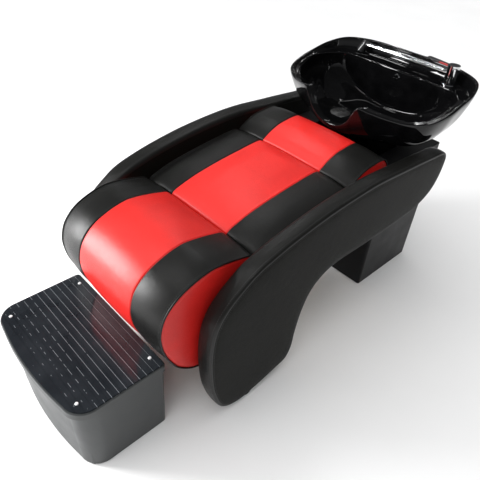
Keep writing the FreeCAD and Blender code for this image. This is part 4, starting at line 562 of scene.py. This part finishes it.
def perforated():
    """Dark strainer plastic with rows of small holes, with painted shade inside each hole and a
    painted highlight round its edge.
    """
    made, tree, shader, place = new_material("strainer_plastic")
    cells = texture(tree, "ShaderNodeTexVoronoi", place, Scale=230.0, Randomness=0.35)
    cloudy = texture(tree, "ShaderNodeTexNoise", place, Scale=40.0, Detail=3.0)
    # Painted shade: each hole is coloured near black for the shade inside it.
    hole = spread(tree, cells.outputs["Distance"], 1, 0, 0.2, 0.3)
    # Painted highlight: a paler ring round each hole for light caught on its edge.
    rim = spread(tree, cells.outputs["Distance"], 1, 0, 0.3, 0.42)
    ground = mixed(tree, spread(tree, cloudy.outputs["Fac"], 0, 1), (0.012, 0.012, 0.012),
                   (0.022, 0.022, 0.022))
    with_painted_highlight = mixed(tree, rim, ground, (0.085, 0.085, 0.085))
    shade = mixed(tree, hole, with_painted_highlight, (0.002, 0.002, 0.002))
    tree.links.new(shade, shader.inputs["Base Color"])
    shader.inputs["Roughness"].default_value = 0.32
    add_bump(tree, shader, spread(tree, cells.outputs["Distance"], 0, 1, 0.2, 0.42), 0.8, 0.0005)
    return made


RED = leather("red_leather", (0.66, 0.018, 0.0145), 0.36, 620.0, 0.00016, 0.0011, 0.32)
BLACK = leather("black_leather", (0.0065, 0.0065, 0.006), 0.37, 560.0, 0.00022, 0.0014, 0.3)
SIDE = leather("matte_black_leather", (0.0072, 0.0072, 0.006), 0.52, 480.0, 0.0003, 0.0016, 0.1)
THREAD = satin("thread", (0.05, 0.05, 0.052), 0.6, 0.0, 260.0, 0.0001)
CERAMIC = ceramic()
CHROME = satin("chrome", (0.66, 0.67, 0.68), 0.06, 1.0, 60.0, 0.000004, 0.03)
STAINLESS = satin("stainless", (0.62, 0.62, 0.63), 0.26, 1.0, 300.0, 0.00002, 0.06)
BRASS = satin("brass", (0.72, 0.50, 0.24), 0.28, 1.0, 200.0, 0.00002, 0.06)
BLACK_PLASTIC = satin("black_plastic", (0.018, 0.018, 0.019), 0.24, 0.0, 120.0, 0.00002)
GREY_PLASTIC = satin("grey_plastic", (0.085, 0.088, 0.09), 0.42, 0.0, 260.0, 0.0001, 0.35)
STOOL = satin("stool_plastic", (0.030, 0.033, 0.034), 0.40, 0.0, 150.0, 0.00008, 0.06)
TREAD = tread()
RUBBER = satin("black_rubber", (0.02, 0.02, 0.02), 0.6, 0.0, 200.0, 0.00008)
LAMINATE = satin("laminate", (0.007, 0.007, 0.0075), 0.4, 0.0, 90.0, 0.00006, gloss=0.16)
STRAINER = perforated()
SCREW = satin("bright_screw", (0.86, 0.86, 0.87), 0.42, 0.25, 200.0, 0.00002, 0.04)
FRAME_STEEL = satin("frame_steel", (0.03, 0.03, 0.032), 0.5, 0.0, 220.0, 0.0001)
SLOT_MATERIALS = {
    "laminate": LAMINATE, "frame_steel": FRAME_STEEL, "plywood": plywood(), "red_leather": RED,
    "black_leather": BLACK, "black_ceramic": CERAMIC, "chrome": CHROME, "stainless": STAINLESS,
    "brass": BRASS, "black_plastic": BLACK_PLASTIC, "grey_plastic": GREY_PLASTIC,
    "stool_plastic": STOOL, "mat_rubber": TREAD, "black_rubber": RUBBER,
}
NODE_MATERIALS = {"hair_strainer": STRAINER, "footstool_screws": SCREW}


def dress_nodes():
    """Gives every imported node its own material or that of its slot."""
    slots = {part["node"]: part["material_slot"] for part in frame["record"]["subparts"]}
    for name, item in nodes.items():
        item.data.materials.clear()
        item.data.materials.append(NODE_MATERIALS.get(name, SLOT_MATERIALS[slots[name]]))


# Cushions

def cushion_inset(x):
    """How far the surface is drawn in at a distance from the middle."""
    far = abs(x)
    seam = SEAM_DEPTH * math.exp(-((far - STRIP_HALF) / SEAM_SPREAD) ** 2)
    if far <= STRIP_HALF:
        return CROWN * (far / STRIP_HALF) ** 4 + seam
    across = (far - STRIP_HALF) / (BAND_EDGE - STRIP_HALF)
    pillow = CROWN * (1 - 4 * (across - 0.5) ** 2) * PILLOW_SHARE
    return CROWN + BAND_DROP * across ** BAND_FALL_POWER - pillow + seam


def cushion_places(coarse):
    """Stations across a cushion, close together at its seams."""
    if coarse:
        half = [0.0, 0.35, 0.7, 0.93, 1.0]
        band = [0.12, 0.4, 0.7, 0.9, 1.0]
    else:
        half = list(np.linspace(0, 0.9, 10)) + [0.94, 0.965, 0.98, 0.99, 1.0]
        band = [0.012, 0.025, 0.045, 0.08] + list(np.linspace(0.14, 0.9, 12)) + [0.95, 0.98, 1.0]
    right = [STRIP_HALF * share for share in half]
    right += [STRIP_HALF + (BAND_EDGE - STRIP_HALF) * share for share in band]
    return [-x for x in reversed(right[1:])] + right


class Cushion:
    """One cushion: its outline, how that outline is drawn in, and its place. A roll is drawn in
    towards its axis; another cushion is drawn down, in full from its flank share upwards."""

    def __init__(self, node_name, shares, is_roll, flank_share):
        self.low, _high, self.size = box_size(node_name)
        self.name = node_name
        self.shares = shares
        self.is_roll = is_roll
        self.flank_share = flank_share

    def outline(self, count):
        return smooth_loop(self.shares, count)

    def spot(self, share_y, share_z, x, inset):
        if self.is_roll:
            draw = min(1, ROLL_DRAW_SHARE + share_z * ROLL_DRAW_RISE_SHARE)
            move_y = (1 - share_y) * draw * inset
            move_z = (ROLL_AXIS_SHARE - share_z) * ROLL_LIFT_SHARE * inset
        else:
            move_y = (0.5 - share_y) * END_DRAW_SHARE * inset
            move_z = -min(1, share_z / self.flank_share) * inset
        return Vector((x, self.low.y + self.size.y * share_y + move_y,
                       self.low.z + self.size.z * share_z + move_z))

    def rings(self, places, count):
        outline = self.outline(count)
        return [[self.spot(y, z, x, cushion_inset(x)) for y, z in outline] for x in places]

    def side_rings(self, side, count, steps):
        """Rings that close the side with a domed panel."""
        outline = self.outline(count)
        edge = [self.spot(y, z, side * BAND_EDGE, cushion_inset(BAND_EDGE)) for y, z in outline]
        middle = sum(edge, Vector()) / len(edge)
        rings = []
        for step in range(1, steps + 1):
            keep = 1 - step / steps * SIDE_CLOSE_SHARE
            bulge = SIDE_BULGE * (1 - keep ** SIDE_DOME_POWER)
            rings.append([Vector((side * (BAND_EDGE + SIDE_STEP_OUT + bulge),
                                  middle.y + (p.y - middle.y) * keep,
                                  middle.z + (p.z - middle.z) * keep)) for p in edge])
        return rings


def cushion_mesh(cushion, coarse):
    """Points, faces and face materials (0 red, 1 black) of a whole closed cushion."""
    count = CLOTH_POINTS if coarse else CUSHION_POINTS
    steps = CLOTH_SIDE_RINGS if coarse else CUSHION_SIDE_RINGS
    places = cushion_places(coarse)
    left = list(reversed(cushion.side_rings(-1, count, steps)))
    right = cushion.side_rings(1, count, steps)
    rings = left + cushion.rings(places, count) + right
    points = [p for ring in rings for p in ring]
    faces = ring_faces(len(rings), count)
    picks = []
    for ring in range(len(rings) - 1):
        if ring < len(left) or ring >= len(rings) - 1 - len(right):
            pick = 0
        else:
            middle = (places[ring - len(left)] + places[ring - len(left) + 1]) / 2
            pick = 0 if abs(middle) < STRIP_HALF else 1
        picks += [pick] * count
    faces += [tuple(range(count)), tuple(range(len(points) - count, len(points)))]
    return points, faces, picks + [0, 0]


def swelling(cushion):
    """A cloth simulation on a coarse copy: where its points were and how far each moved."""
    points, faces, _picks = cushion_mesh(cushion, True)
    soft = make_piece(cushion.name + "_cloth", points, faces, [RED])
    held = soft.vertex_groups.new(name="held")
    start = [v.co.copy() for v in soft.data.vertices]
    floor = cushion.low.z + cushion.size.z * HELD_SHARE
    for index, spot in enumerate(start):
        far = abs(spot.x)
        near_seam = min(abs(far - STRIP_HALF), abs(far - BAND_EDGE)) < 2 * MM
        if near_seam or spot.z < floor or far > BAND_EDGE:
            held.add([index], 1.0, "REPLACE")
    cloth = soft.modifiers.new("Cloth", "CLOTH")
    cloth.settings.quality = 6
    cloth.settings.use_pressure = True
    cloth.settings.uniform_pressure_force = 4
    cloth.settings.tension_stiffness = 20
    cloth.settings.compression_stiffness = 20
    cloth.settings.bending_stiffness = 1.5
    cloth.settings.vertex_group_mass = "held"
    cloth.settings.effector_weights.gravity = 0
    cloth.point_cache.frame_start = 1
    cloth.point_cache.frame_end = SWELL_FRAMES
    scene = bpy.context.scene
    for number in range(1, SWELL_FRAMES + 1):
        scene.frame_set(number)
    evaluated = soft.evaluated_get(bpy.context.evaluated_depsgraph_get())
    moved = [evaluated.data.vertices[i].co - start[i] for i in range(len(start))]
    bpy.data.objects.remove(soft)
    scene.frame_set(1)
    return start, moved


def swell(points, start, moved):
    """Moves points as the nearest simulated ones moved, up to the limit."""
    tree = KDTree(len(start))
    for index, spot in enumerate(start):
        tree.insert(spot, index)
    tree.balance()
    out = []
    for spot in points:
        found = tree.find_n(spot, SWELL_NEIGHBOURS)
        weights = [1 / (distance + SWELL_BLEND) ** 2 for _co, _index, distance in found]
        move = sum((moved[index] * w for (_co, index, _d), w in zip(found, weights)), Vector())
        move /= sum(weights)
        if move.length > SWELL_LIMIT:
            move = move.normalized() * SWELL_LIMIT
        calm = 1 - math.exp(-((abs(spot.x) - STRIP_HALF) / SWELL_SEAM_CALM) ** 2)
        out.append(spot + move * calm)
    return out


def wrinkled(points, cushion):
    """Faint pulls beside the seams and softly uneven stuffing."""
    out = []
    for spot in points:
        beside = math.exp(-abs(abs(spot.x) - STRIP_HALF) / PULL_REACH_SEAM)
        beside += math.exp(-abs(abs(spot.x) - BAND_EDGE) / PULL_REACH_SIDE)
        pull = noise.noise(Vector((spot.x * 16, spot.y * 58, spot.z * 58))) * beside * PULL_HEIGHT
        lumps = noise.noise(spot * 7 + Vector((3, 1, 2))) * LUMP_HEIGHT
        upright = max(0.0, (spot.z - cushion.low.z) / cushion.size.z)
        out.append(spot + Vector((0, 0, (pull + lumps) * upright)))
    return out


def make_cushion(node_name, shares, is_roll, flank_share):
    """A cushion's upholstery with its piping and the stitches beside it."""
    cushion = Cushion(node_name, shares, is_roll, flank_share)
    points, faces, picks = cushion_mesh(cushion, False)
    points = swell(points, *swelling(cushion))
    points = wrinkled(points, cushion)
    made = make_piece(node_name + "_upholstery", points, faces, [RED, BLACK], picks)
    finish_piece(made, "bed", "red_leather", node_name)
    outline = cushion.outline(PIPING_POINTS)
    tubes = []
    threads = []
    for side in (1, -1):
        edge = [cushion.spot(y, z, side * (BAND_EDGE + PIPING_OUT),
                             cushion_inset(BAND_EDGE) - PIPING_RISE) for y, z in outline]
        tubes.append(tube_along(edge, PIPING_RADIUS))
        inner = BAND_EDGE - STITCH_INSET
        line = [cushion.spot(y, z, side * inner, cushion_inset(inner)) for y, z in outline]
        middle = sum(line, Vector()) / len(line)
        ups = [((p - middle) * Vector((0, 1, 1))).normalized() for p in line]
        threads.append(stitch_row(line, ups))
    piping = make_piece(node_name + "_piping", *merged(tubes), [BLACK])
    finish_piece(piping, "bed", "black_leather")
    stitches = make_piece(node_name + "_stitches", *merged(threads), [THREAD])
    finish_piece(stitches, "bed", "black_leather")


# Arms

def arm_outline(inset):
    """The arm's outline drawn in by an inset, as points of Y and Z."""
    length = ARM_BACK - ARM_FRONT
    height = ARM_HIGH - ARM_LOW
    through = [(ARM_FRONT + length * y, ARM_LOW + height * z) for y, z in ARM_OUTLINE_SHARES]
    line = smooth_loop(through, ARM_POINTS)
    ways = np.roll(line, -2, axis=0) - np.roll(line, 2, axis=0)
    ways /= np.linalg.norm(ways, axis=1)[:, None]
    return line + np.stack([ways[:, 1], -ways[:, 0]], axis=1) * inset


def arm_stations(thick):
    """Places across the arm and the inset there, from its inner face to its outer one."""
    out = []
    for step in range(ARM_INNER_STEPS + 1):
        angle = math.pi / 2 * step / ARM_INNER_STEPS
        out.append((ARM_INNER_ROUND * (1 - math.cos(angle)),
                    ARM_INNER_ROUND * (1 - math.sin(angle))))
    flat = thick - ARM_INNER_ROUND - ARM_OUTER_ROUND
    for step in range(1, ARM_BAND_STEPS):
        across = step / ARM_BAND_STEPS
        out.append((ARM_INNER_ROUND + flat * across,
                    -ARM_BAND_CROWN * math.sin(math.pi * across)))
    for step in range(ARM_OUTER_STEPS + 1):
        angle = math.pi / 2 * step / ARM_OUTER_STEPS
        out.append((thick - ARM_OUTER_ROUND * (1 - math.sin(angle)),
                    ARM_OUTER_ROUND * (1 - math.cos(angle))))
    out += [(thick - deep, ARM_OUTER_ROUND + inside) for deep, inside in ARM_SEAM_GROOVE]
    return out


def panel_fill(outline, x, outwards, crown):
    """A domed side panel: a triangulated fill whose height grows away from its edge."""
    edge = [Vector(p) for p in outline]
    count = len(edge)
    low = np.min(outline, axis=0)
    high = np.max(outline, axis=0)
    inner = []
    ring = np.array(outline)
    after = np.roll(ring, -1, axis=0)
    for row, z in enumerate(np.arange(low[1] + PANEL_PITCH, high[1], PANEL_PITCH)):
        shift = PANEL_PITCH / 2 if row % 2 else 0
        for y in np.arange(low[0] + PANEL_PITCH + shift, high[0], PANEL_PITCH):
            crosses = (ring[:, 1] > z) != (after[:, 1] > z)
            where = ring[:, 0] + (z - ring[:, 1]) / (after[:, 1] - ring[:, 1] + 1e-12) \
                * (after[:, 0] - ring[:, 0])
            if np.count_nonzero(crosses & (y < where)) % 2 == 0:
                continue
            if np.min(np.hypot(ring[:, 0] - y, ring[:, 1] - z)) > PANEL_CLEARANCE:
                inner.append(Vector((y, z)))
    sides = [(i, (i + 1) % count) for i in range(count)]
    found = delaunay_2d_cdt(edge + inner, sides, [], 1, 1e-7)
    points = []
    for y, z in found[0]:
        away = np.min(np.hypot(ring[:, 0] - y, ring[:, 1] - z))
        rise = crown * (1 - math.exp(-away / PANEL_RISE_REACH))
        wave = PANEL_WAVE * min(1, away / PANEL_WAVE_REACH)
        rise += noise.noise(Vector((y * 6, z * 6, x * 9))) * wave
        points.append(Vector((x + outwards * rise, y, z)))
    return points, [tuple(face) for face in found[2]]


def arm_wrinkle(spot, across):
    """How far the band stands out: pressed folds where it bends at the front, slow waves
    elsewhere."""
    front = max(0.0, min(1.0, (FOLD_START - spot.y) / FOLD_REACH))
    folds = noise.noise(Vector((across * 9, spot.y * 62, spot.z * 62)))
    slow = noise.noise(Vector((across * 14 + 5, spot.y * 11, spot.z * 11)))
    return folds * FOLD_HEIGHT * front + slow * BEND_HEIGHT


def outward_ways(inset):
    """The arm's outline at an inset and the way straight out of it at each point."""
    line = arm_outline(inset)
    return line, (arm_outline(inset - MM) - line) / MM


def make_arm(word, side):
    """An arm's upholstery, with a band round two domed panels, and its rows of stitches."""
    name = word + "_arm"
    low, high, size = box_size(name)
    thick = size.x
    start = low.x if side > 0 else high.x
    rings = []
    for x, inset in arm_stations(thick):
        ring = []
        for (y, z), way in zip(*outward_ways(inset)):
            spot = Vector((start + side * x, y, z))
            if ARM_INNER_ROUND < x < thick - ARM_OUTER_ROUND:
                spot += Vector((0, *way)) * arm_wrinkle(spot, x / thick * side)
            ring.append(spot)
        rings.append(ring)
    points = [p for ring in rings for p in ring]
    faces = ring_faces(len(rings), ARM_POINTS)
    inner = panel_fill([(p.y, p.z) for p in rings[0]], rings[0][0].x, -side,
                       ARM_PANEL_CROWN * ARM_INNER_CROWN_SHARE)
    outer = panel_fill([(p.y, p.z) for p in rings[-1]], rings[-1][0].x, side, ARM_PANEL_CROWN)
    picks = [0] * len(faces) + [1] * (len(inner[1]) + len(outer[1]))
    made = make_piece(name + "_upholstery", *merged([(points, faces), inner, outer]),
                      [BLACK, SIDE], picks)
    finish_piece(made, "bed", "black_leather", name)
    rows = []
    for x, inset, on_panel in (
            (thick - ARM_OUTER_ROUND - ARM_BAND_STITCH, -ARM_STITCH_LIFT, False),
            (thick + ARM_STITCH_LIFT, ARM_OUTER_ROUND + ARM_PANEL_STITCH, True)):
        line, ways = outward_ways(inset)
        spots = [Vector((start + side * x, y, z)) for y, z in line]
        ups = [Vector((side, 0, 0)) if on_panel else Vector((0, *way)).normalized()
               for way in ways]
        rows.append(stitch_row(spots, ups))
    threads = make_piece(name + "_stitches", *merged(rows), [THREAD])
    finish_piece(threads, "bed", "black_leather")


# Basin

def mirrored(half):
    """A whole loop of shares from the half that starts and ends in the middle."""
    return list(half) + [(-entry[0],) + tuple(entry[1:]) for entry in reversed(half[1:-1])]


def smooth_step(value):
    value = min(max(value, 0.0), 1.0)
    return value * value * (3 - 2 * value)


def bowl_depth(spot, t, bend, backness, widths):
    """How far down the bowl is at a place, from 0 at its lip to 1 at its floor."""
    reach = min(1.0, t / FLOOR_REACH_SHARE)
    side = (1 - (1 - reach) ** (2 * bend)) ** (1 / (2 * bend))
    wall = (1 - (1 - t) ** BACK_WALL_POWER) ** BACK_WALL_ROUND_POWER
    across = min(abs(spot.x) / np.interp(spot.y, widths[0], widths[1]), 1.0)
    trough = (1 - across ** 2) ** TROUGH_POWER
    depth = side * (1 - backness) + wall * trough * backness
    near = smooth_step((DRAIN_FLAT_OUTER - (spot - DRAIN).xy.length)
                       / (DRAIN_FLAT_OUTER - DRAIN_FLAT_INNER))
    return depth + (1 - depth) * near


def rim_corners():
    """The rim's corner points, in metres."""
    depth = BASIN_BACK - BASIN_FRONT
    rise = RIM_HEIGHT - NOTCH_HEIGHT
    return [(BASIN_HALF * x, BASIN_FRONT + depth * y, NOTCH_HEIGHT + rise * z)
            for x, y, z in mirrored(RIM_SHARES)]


def basin_profiles():
    """For each station round the basin, its profile from the waste hole's outer end, over the
    rim and down to the hole again."""
    depth = BASIN_BACK - BASIN_FRONT
    middle = BASIN_FRONT + depth * BASIN_CENTRE_SHARE
    rim_places = rim_corners()
    rim = smooth_loop(rim_places, BASIN_POINTS)
    edge = stations_like(rim_places, [(BASIN_HALF * x, BASIN_FRONT + depth * y, bend)
                                      for x, y, bend in mirrored(RECESS_SHARES)])
    order = np.argsort(edge[:, 1])
    along, across = edge[order, 1], np.abs(edge[order, 0])
    before = np.maximum.accumulate(across)
    behind = np.maximum.accumulate(across[::-1])[::-1]
    widths = (along, np.maximum(np.where(along > middle, behind, before), TROUGH_LEAST_HALF))
    profiles = []
    for (rx, ry, rz), (ex, ey, bend) in zip(rim, edge):
        outer = Vector((rx, ry, rz))
        way = Vector((ex - rx, ey - ry, 0))
        reach = way.length
        way.normalize()
        lip_z = min(DECK_HEIGHT, rz - BASIN_WALL / 2)
        out = Vector((ex - DRAIN.x, ey - DRAIN.y, 0)).normalized()
        line = [DRAIN + out * WASTE_HOLE + Vector((0, 0, BASIN_BOTTOM - FLOOR_HEIGHT))]
        inner = Vector((rx * UNDERSIDE_WIDTH_SHARE,
                        middle + (ry - middle) * UNDERSIDE_DEPTH_SHARE, BASIN_BOTTOM))
        line += [line[0].lerp(inner, share) for share in UNDERSIDE_STEP_SHARES]
        line += [Vector((rx * kx, middle + (ry - middle) * ky,
                         BASIN_BOTTOM + (rz - BASIN_BOTTOM) * up)) for kx, ky, up in OUTER_SHARES]
        for share, limit, up in RIM_ROUND_SHARES:
            step = min(BASIN_WALL * share, reach * limit)
            line.append(outer + way * step + Vector((0, 0, BASIN_WALL * up)))
        ledge = min(BASIN_WALL * LEDGE_WALL_SHARE, reach * LEDGE_REACH_SHARE)
        base = outer + way * ledge
        line.append(Vector((base.x, base.y, lip_z + LEDGE_RISE)))
        if reach - ledge > LEDGE_LEAST:
            inside = outer + way * (ledge + LEDGE_STEP)
            line.append(Vector((inside.x, inside.y, lip_z + LEDGE_FALL)))
            near = outer + way * (reach - LIP_STEP)
            line.append(Vector((near.x, near.y, lip_z)))
        lip = Vector((ex, ey, lip_z))
        line.append(lip - way * LIP_ROUND - Vector((0, 0, LIP_DROP)))
        backness = smooth_step(((ey - BASIN_FRONT) / depth - BACK_WALL_START_SHARE)
                               / BACK_WALL_BLEND_SHARE)
        hole = DRAIN + out * FLANGE_HOLE
        for step in range(1, BOWL_STEPS + 1):
            t = (step / BOWL_STEPS) ** BOWL_STEP_POWER
            spot = Vector((ex + (hole.x - ex) * t, ey + (hole.y - ey) * t, 0))
            down = bowl_depth(spot, t, bend, backness, widths)
            line.append(Vector((spot.x, spot.y, lip_z - (lip_z - FLOOR_HEIGHT) * down)))
        deep = Vector((0, 0, FLANGE_DEPTH))
        line += [hole - deep, DRAIN + out * WASTE_HOLE - deep, line[0]]
        profiles.append(line)
    return profiles


def stations_like(guide, other):
    """Points along one loop at the stations where its guide loop is evenly spaced."""
    guide_fine = matched_loop(guide)
    other_fine = matched_loop(other)
    gone = np.concatenate([[0], np.cumsum(np.linalg.norm(np.diff(guide_fine, axis=0), axis=1))])
    numbers = np.arange(len(gone))
    where = np.interp(np.linspace(0, gone[-1], BASIN_POINTS, endpoint=False), gone, numbers)
    return np.stack([np.interp(where, numbers, other_fine[:, k]) for k in range(3)], axis=1)


def matched_loop(points):
    """A closed row of Catmull-Rom points with the same number in each span."""
    points = np.array(points, float)
    total = len(points)
    out = []
    for index in range(total):
        a, b, c, d = (points[(index + step) % total] for step in (-1, 0, 1, 2))
        for t in np.arange(MATCHED_SPAN_STEPS) / MATCHED_SPAN_STEPS:
            out.append(0.5 * (2 * b + (c - a) * t + (2 * a - 5 * b + 4 * c - d) * t ** 2
                              + (3 * b - a - 3 * c + d) * t ** 3))
    out.append(out[0])
    return np.array(out)


def make_basin():
    """The glazed basin, one closed shell of rings round its waste hole."""
    rings = row_places([np.array([tuple(p) for p in line]) for line in basin_profiles()])
    points = [Vector(p) for ring in rings for p in ring]
    faces = ring_faces(len(rings), BASIN_POINTS)
    made = make_piece("basin_glazed", points, faces, [CERAMIC])
    finish_piece(made, "basin", "black_ceramic", "basin_bowl")


def row_places(lines):
    """Rings through matching places of all profiles. A profile without its two ledge points
    waits there for the longer ones."""
    count = max(len(line) for line in lines)
    rings = []
    for index in range(count - 1):
        for part in PROFILE_PARTS:
            ring = []
            for line in lines:
                place = index + part
                if len(line) < count and place > SHORT_PROFILE_SPLIT:
                    place = max(SHORT_PROFILE_SPLIT, place - (count - len(line)))
                low = min(int(place), len(line) - 2)
                ring.append(catmull(line, low, place - low))
            rings.append(ring)
    rings.append([line[-1] for line in lines])
    return rings


def catmull(line, low, t):
    """A point on the curve between two neighbours of a profile, without overshoot."""
    last = len(line) - 1
    b, c = line[low], line[low + 1]
    a = line[low - 1] if low else b
    d = line[min(low + 2, last)]
    span = np.linalg.norm(c - b) + 1e-9
    first = (c - a) / (np.linalg.norm(c - b) + np.linalg.norm(b - a) + 1e-9) * span
    second = (d - b) / (np.linalg.norm(d - c) + np.linalg.norm(c - b) + 1e-9) * span
    h = t * t * (3 - 2 * t)
    return (b * (1 - h) + c * h + first * t * (1 - t) ** 2 - second * t * t * (1 - t))


# Light and camera

def make_camera():
    """The photograph's camera, rolled about its own axis."""
    data = bpy.data.cameras.new("camera")
    data.lens = CAMERA_LENS
    data.sensor_width = CAMERA_SENSOR
    data.sensor_fit = "HORIZONTAL"
    data.clip_end = 60
    made = bpy.data.objects.new("camera", data)
    bpy.context.scene.collection.objects.link(made)
    az, el = CAMERA_AZIMUTH, CAMERA_ELEVATION
    back = Vector((math.sin(az) * math.cos(el), -math.cos(az) * math.cos(el), math.sin(el)))
    right = (-back).cross(Vector((0, 0, 1))).normalized()
    up = right.cross(-back)
    turn_c, turn_s = math.cos(CAMERA_ROLL), math.sin(CAMERA_ROLL)
    right_rolled = right * turn_c + up * turn_s
    up_rolled = up * turn_c - right * turn_s
    made.matrix_world = Matrix.Translation(CAMERA_PLACE) @ Matrix(
        (right_rolled, up_rolled, back)).transposed().to_4x4()
    bpy.context.scene.camera = made


def area_light(name, place, target, width, height, power, lights_matt):
    """A lamp that no picture shows, aimed at a point."""
    data = bpy.data.lights.new(name, "AREA")
    data.shape = "RECTANGLE"
    data.size = width
    data.size_y = height
    data.energy = power
    made = bpy.data.objects.new(name, data)
    bpy.context.scene.collection.objects.link(made)
    made.location = place
    made.rotation_euler = (Vector(target) - Vector(place)).to_track_quat("-Z", "Y").to_euler()
    made.visible_diffuse = lights_matt
    made.visible_camera = False


def make_stage():
    """Pale floor, surroundings that darken upwards, a large soft light above and the lamps."""
    floor_material, tree, shader, place = new_material("floor")
    cloudy = texture(tree, "ShaderNodeTexNoise", place, Scale=1.5, Detail=3.0)
    shade = mixed(tree, spread(tree, cloudy.outputs["Fac"], 0, 1), (0.84, 0.84, 0.84),
                  (0.87, 0.87, 0.87))
    tree.links.new(shade, shader.inputs["Base Color"])
    shader.inputs["Roughness"].default_value = 0.85
    places = np.linspace(-FLOOR_HALF, FLOOR_HALF, FLOOR_CELLS + 1)
    points = [Vector((x, y, 0)) for y in places for x in places]
    row = FLOOR_CELLS + 1
    faces = [(j * row + i, j * row + i + 1, (j + 1) * row + i + 1, (j + 1) * row + i)
             for j in range(FLOOR_CELLS) for i in range(FLOOR_CELLS)]
    floor = make_piece("floor", points, faces, [floor_material])
    world = bpy.data.worlds.new("room")
    world.use_nodes = True
    background = next(n for n in world.node_tree.nodes if n.type == "BACKGROUND")
    coordinates = world.node_tree.nodes.new("ShaderNodeTexCoord")
    split = world.node_tree.nodes.new("ShaderNodeSeparateXYZ")
    world.node_tree.links.new(coordinates.outputs["Generated"], split.inputs["Vector"])
    fade = spread(world.node_tree, split.outputs["Z"], 0.55, 0.08, 0.04, 0.26)
    world.node_tree.links.new(fade, background.inputs["Strength"])
    background.inputs["Color"].default_value = (0.97, 0.98, 1.0, 1)
    bpy.context.scene.world = world
    data = bpy.data.lights.new("sky_panel", "SUN")
    data.energy = SKY_ENERGY
    data.angle = SKY_ANGLE
    above = bpy.data.objects.new("sky_panel", data)
    bpy.context.scene.collection.objects.link(above)
    above.rotation_euler = SKY_DIRECTION.to_track_quat("-Z", "Y").to_euler()
    above.visible_glossy = False
    for name, settings in LAMPS.items():
        area_light(name, *settings)
    bpy.context.scene.view_settings.view_transform = "Standard"


dress_nodes()
make_camera()
make_stage()
make_cushion("calf_roll", ROLL_SHARES, True, 1.0)
make_cushion("seat_cushion", SEAT_SHARES, False, 0.55)
make_cushion("head_cushion", HEAD_SHARES, False, 0.55)
make_arm("right", 1)
make_arm("left", -1)
make_basin()
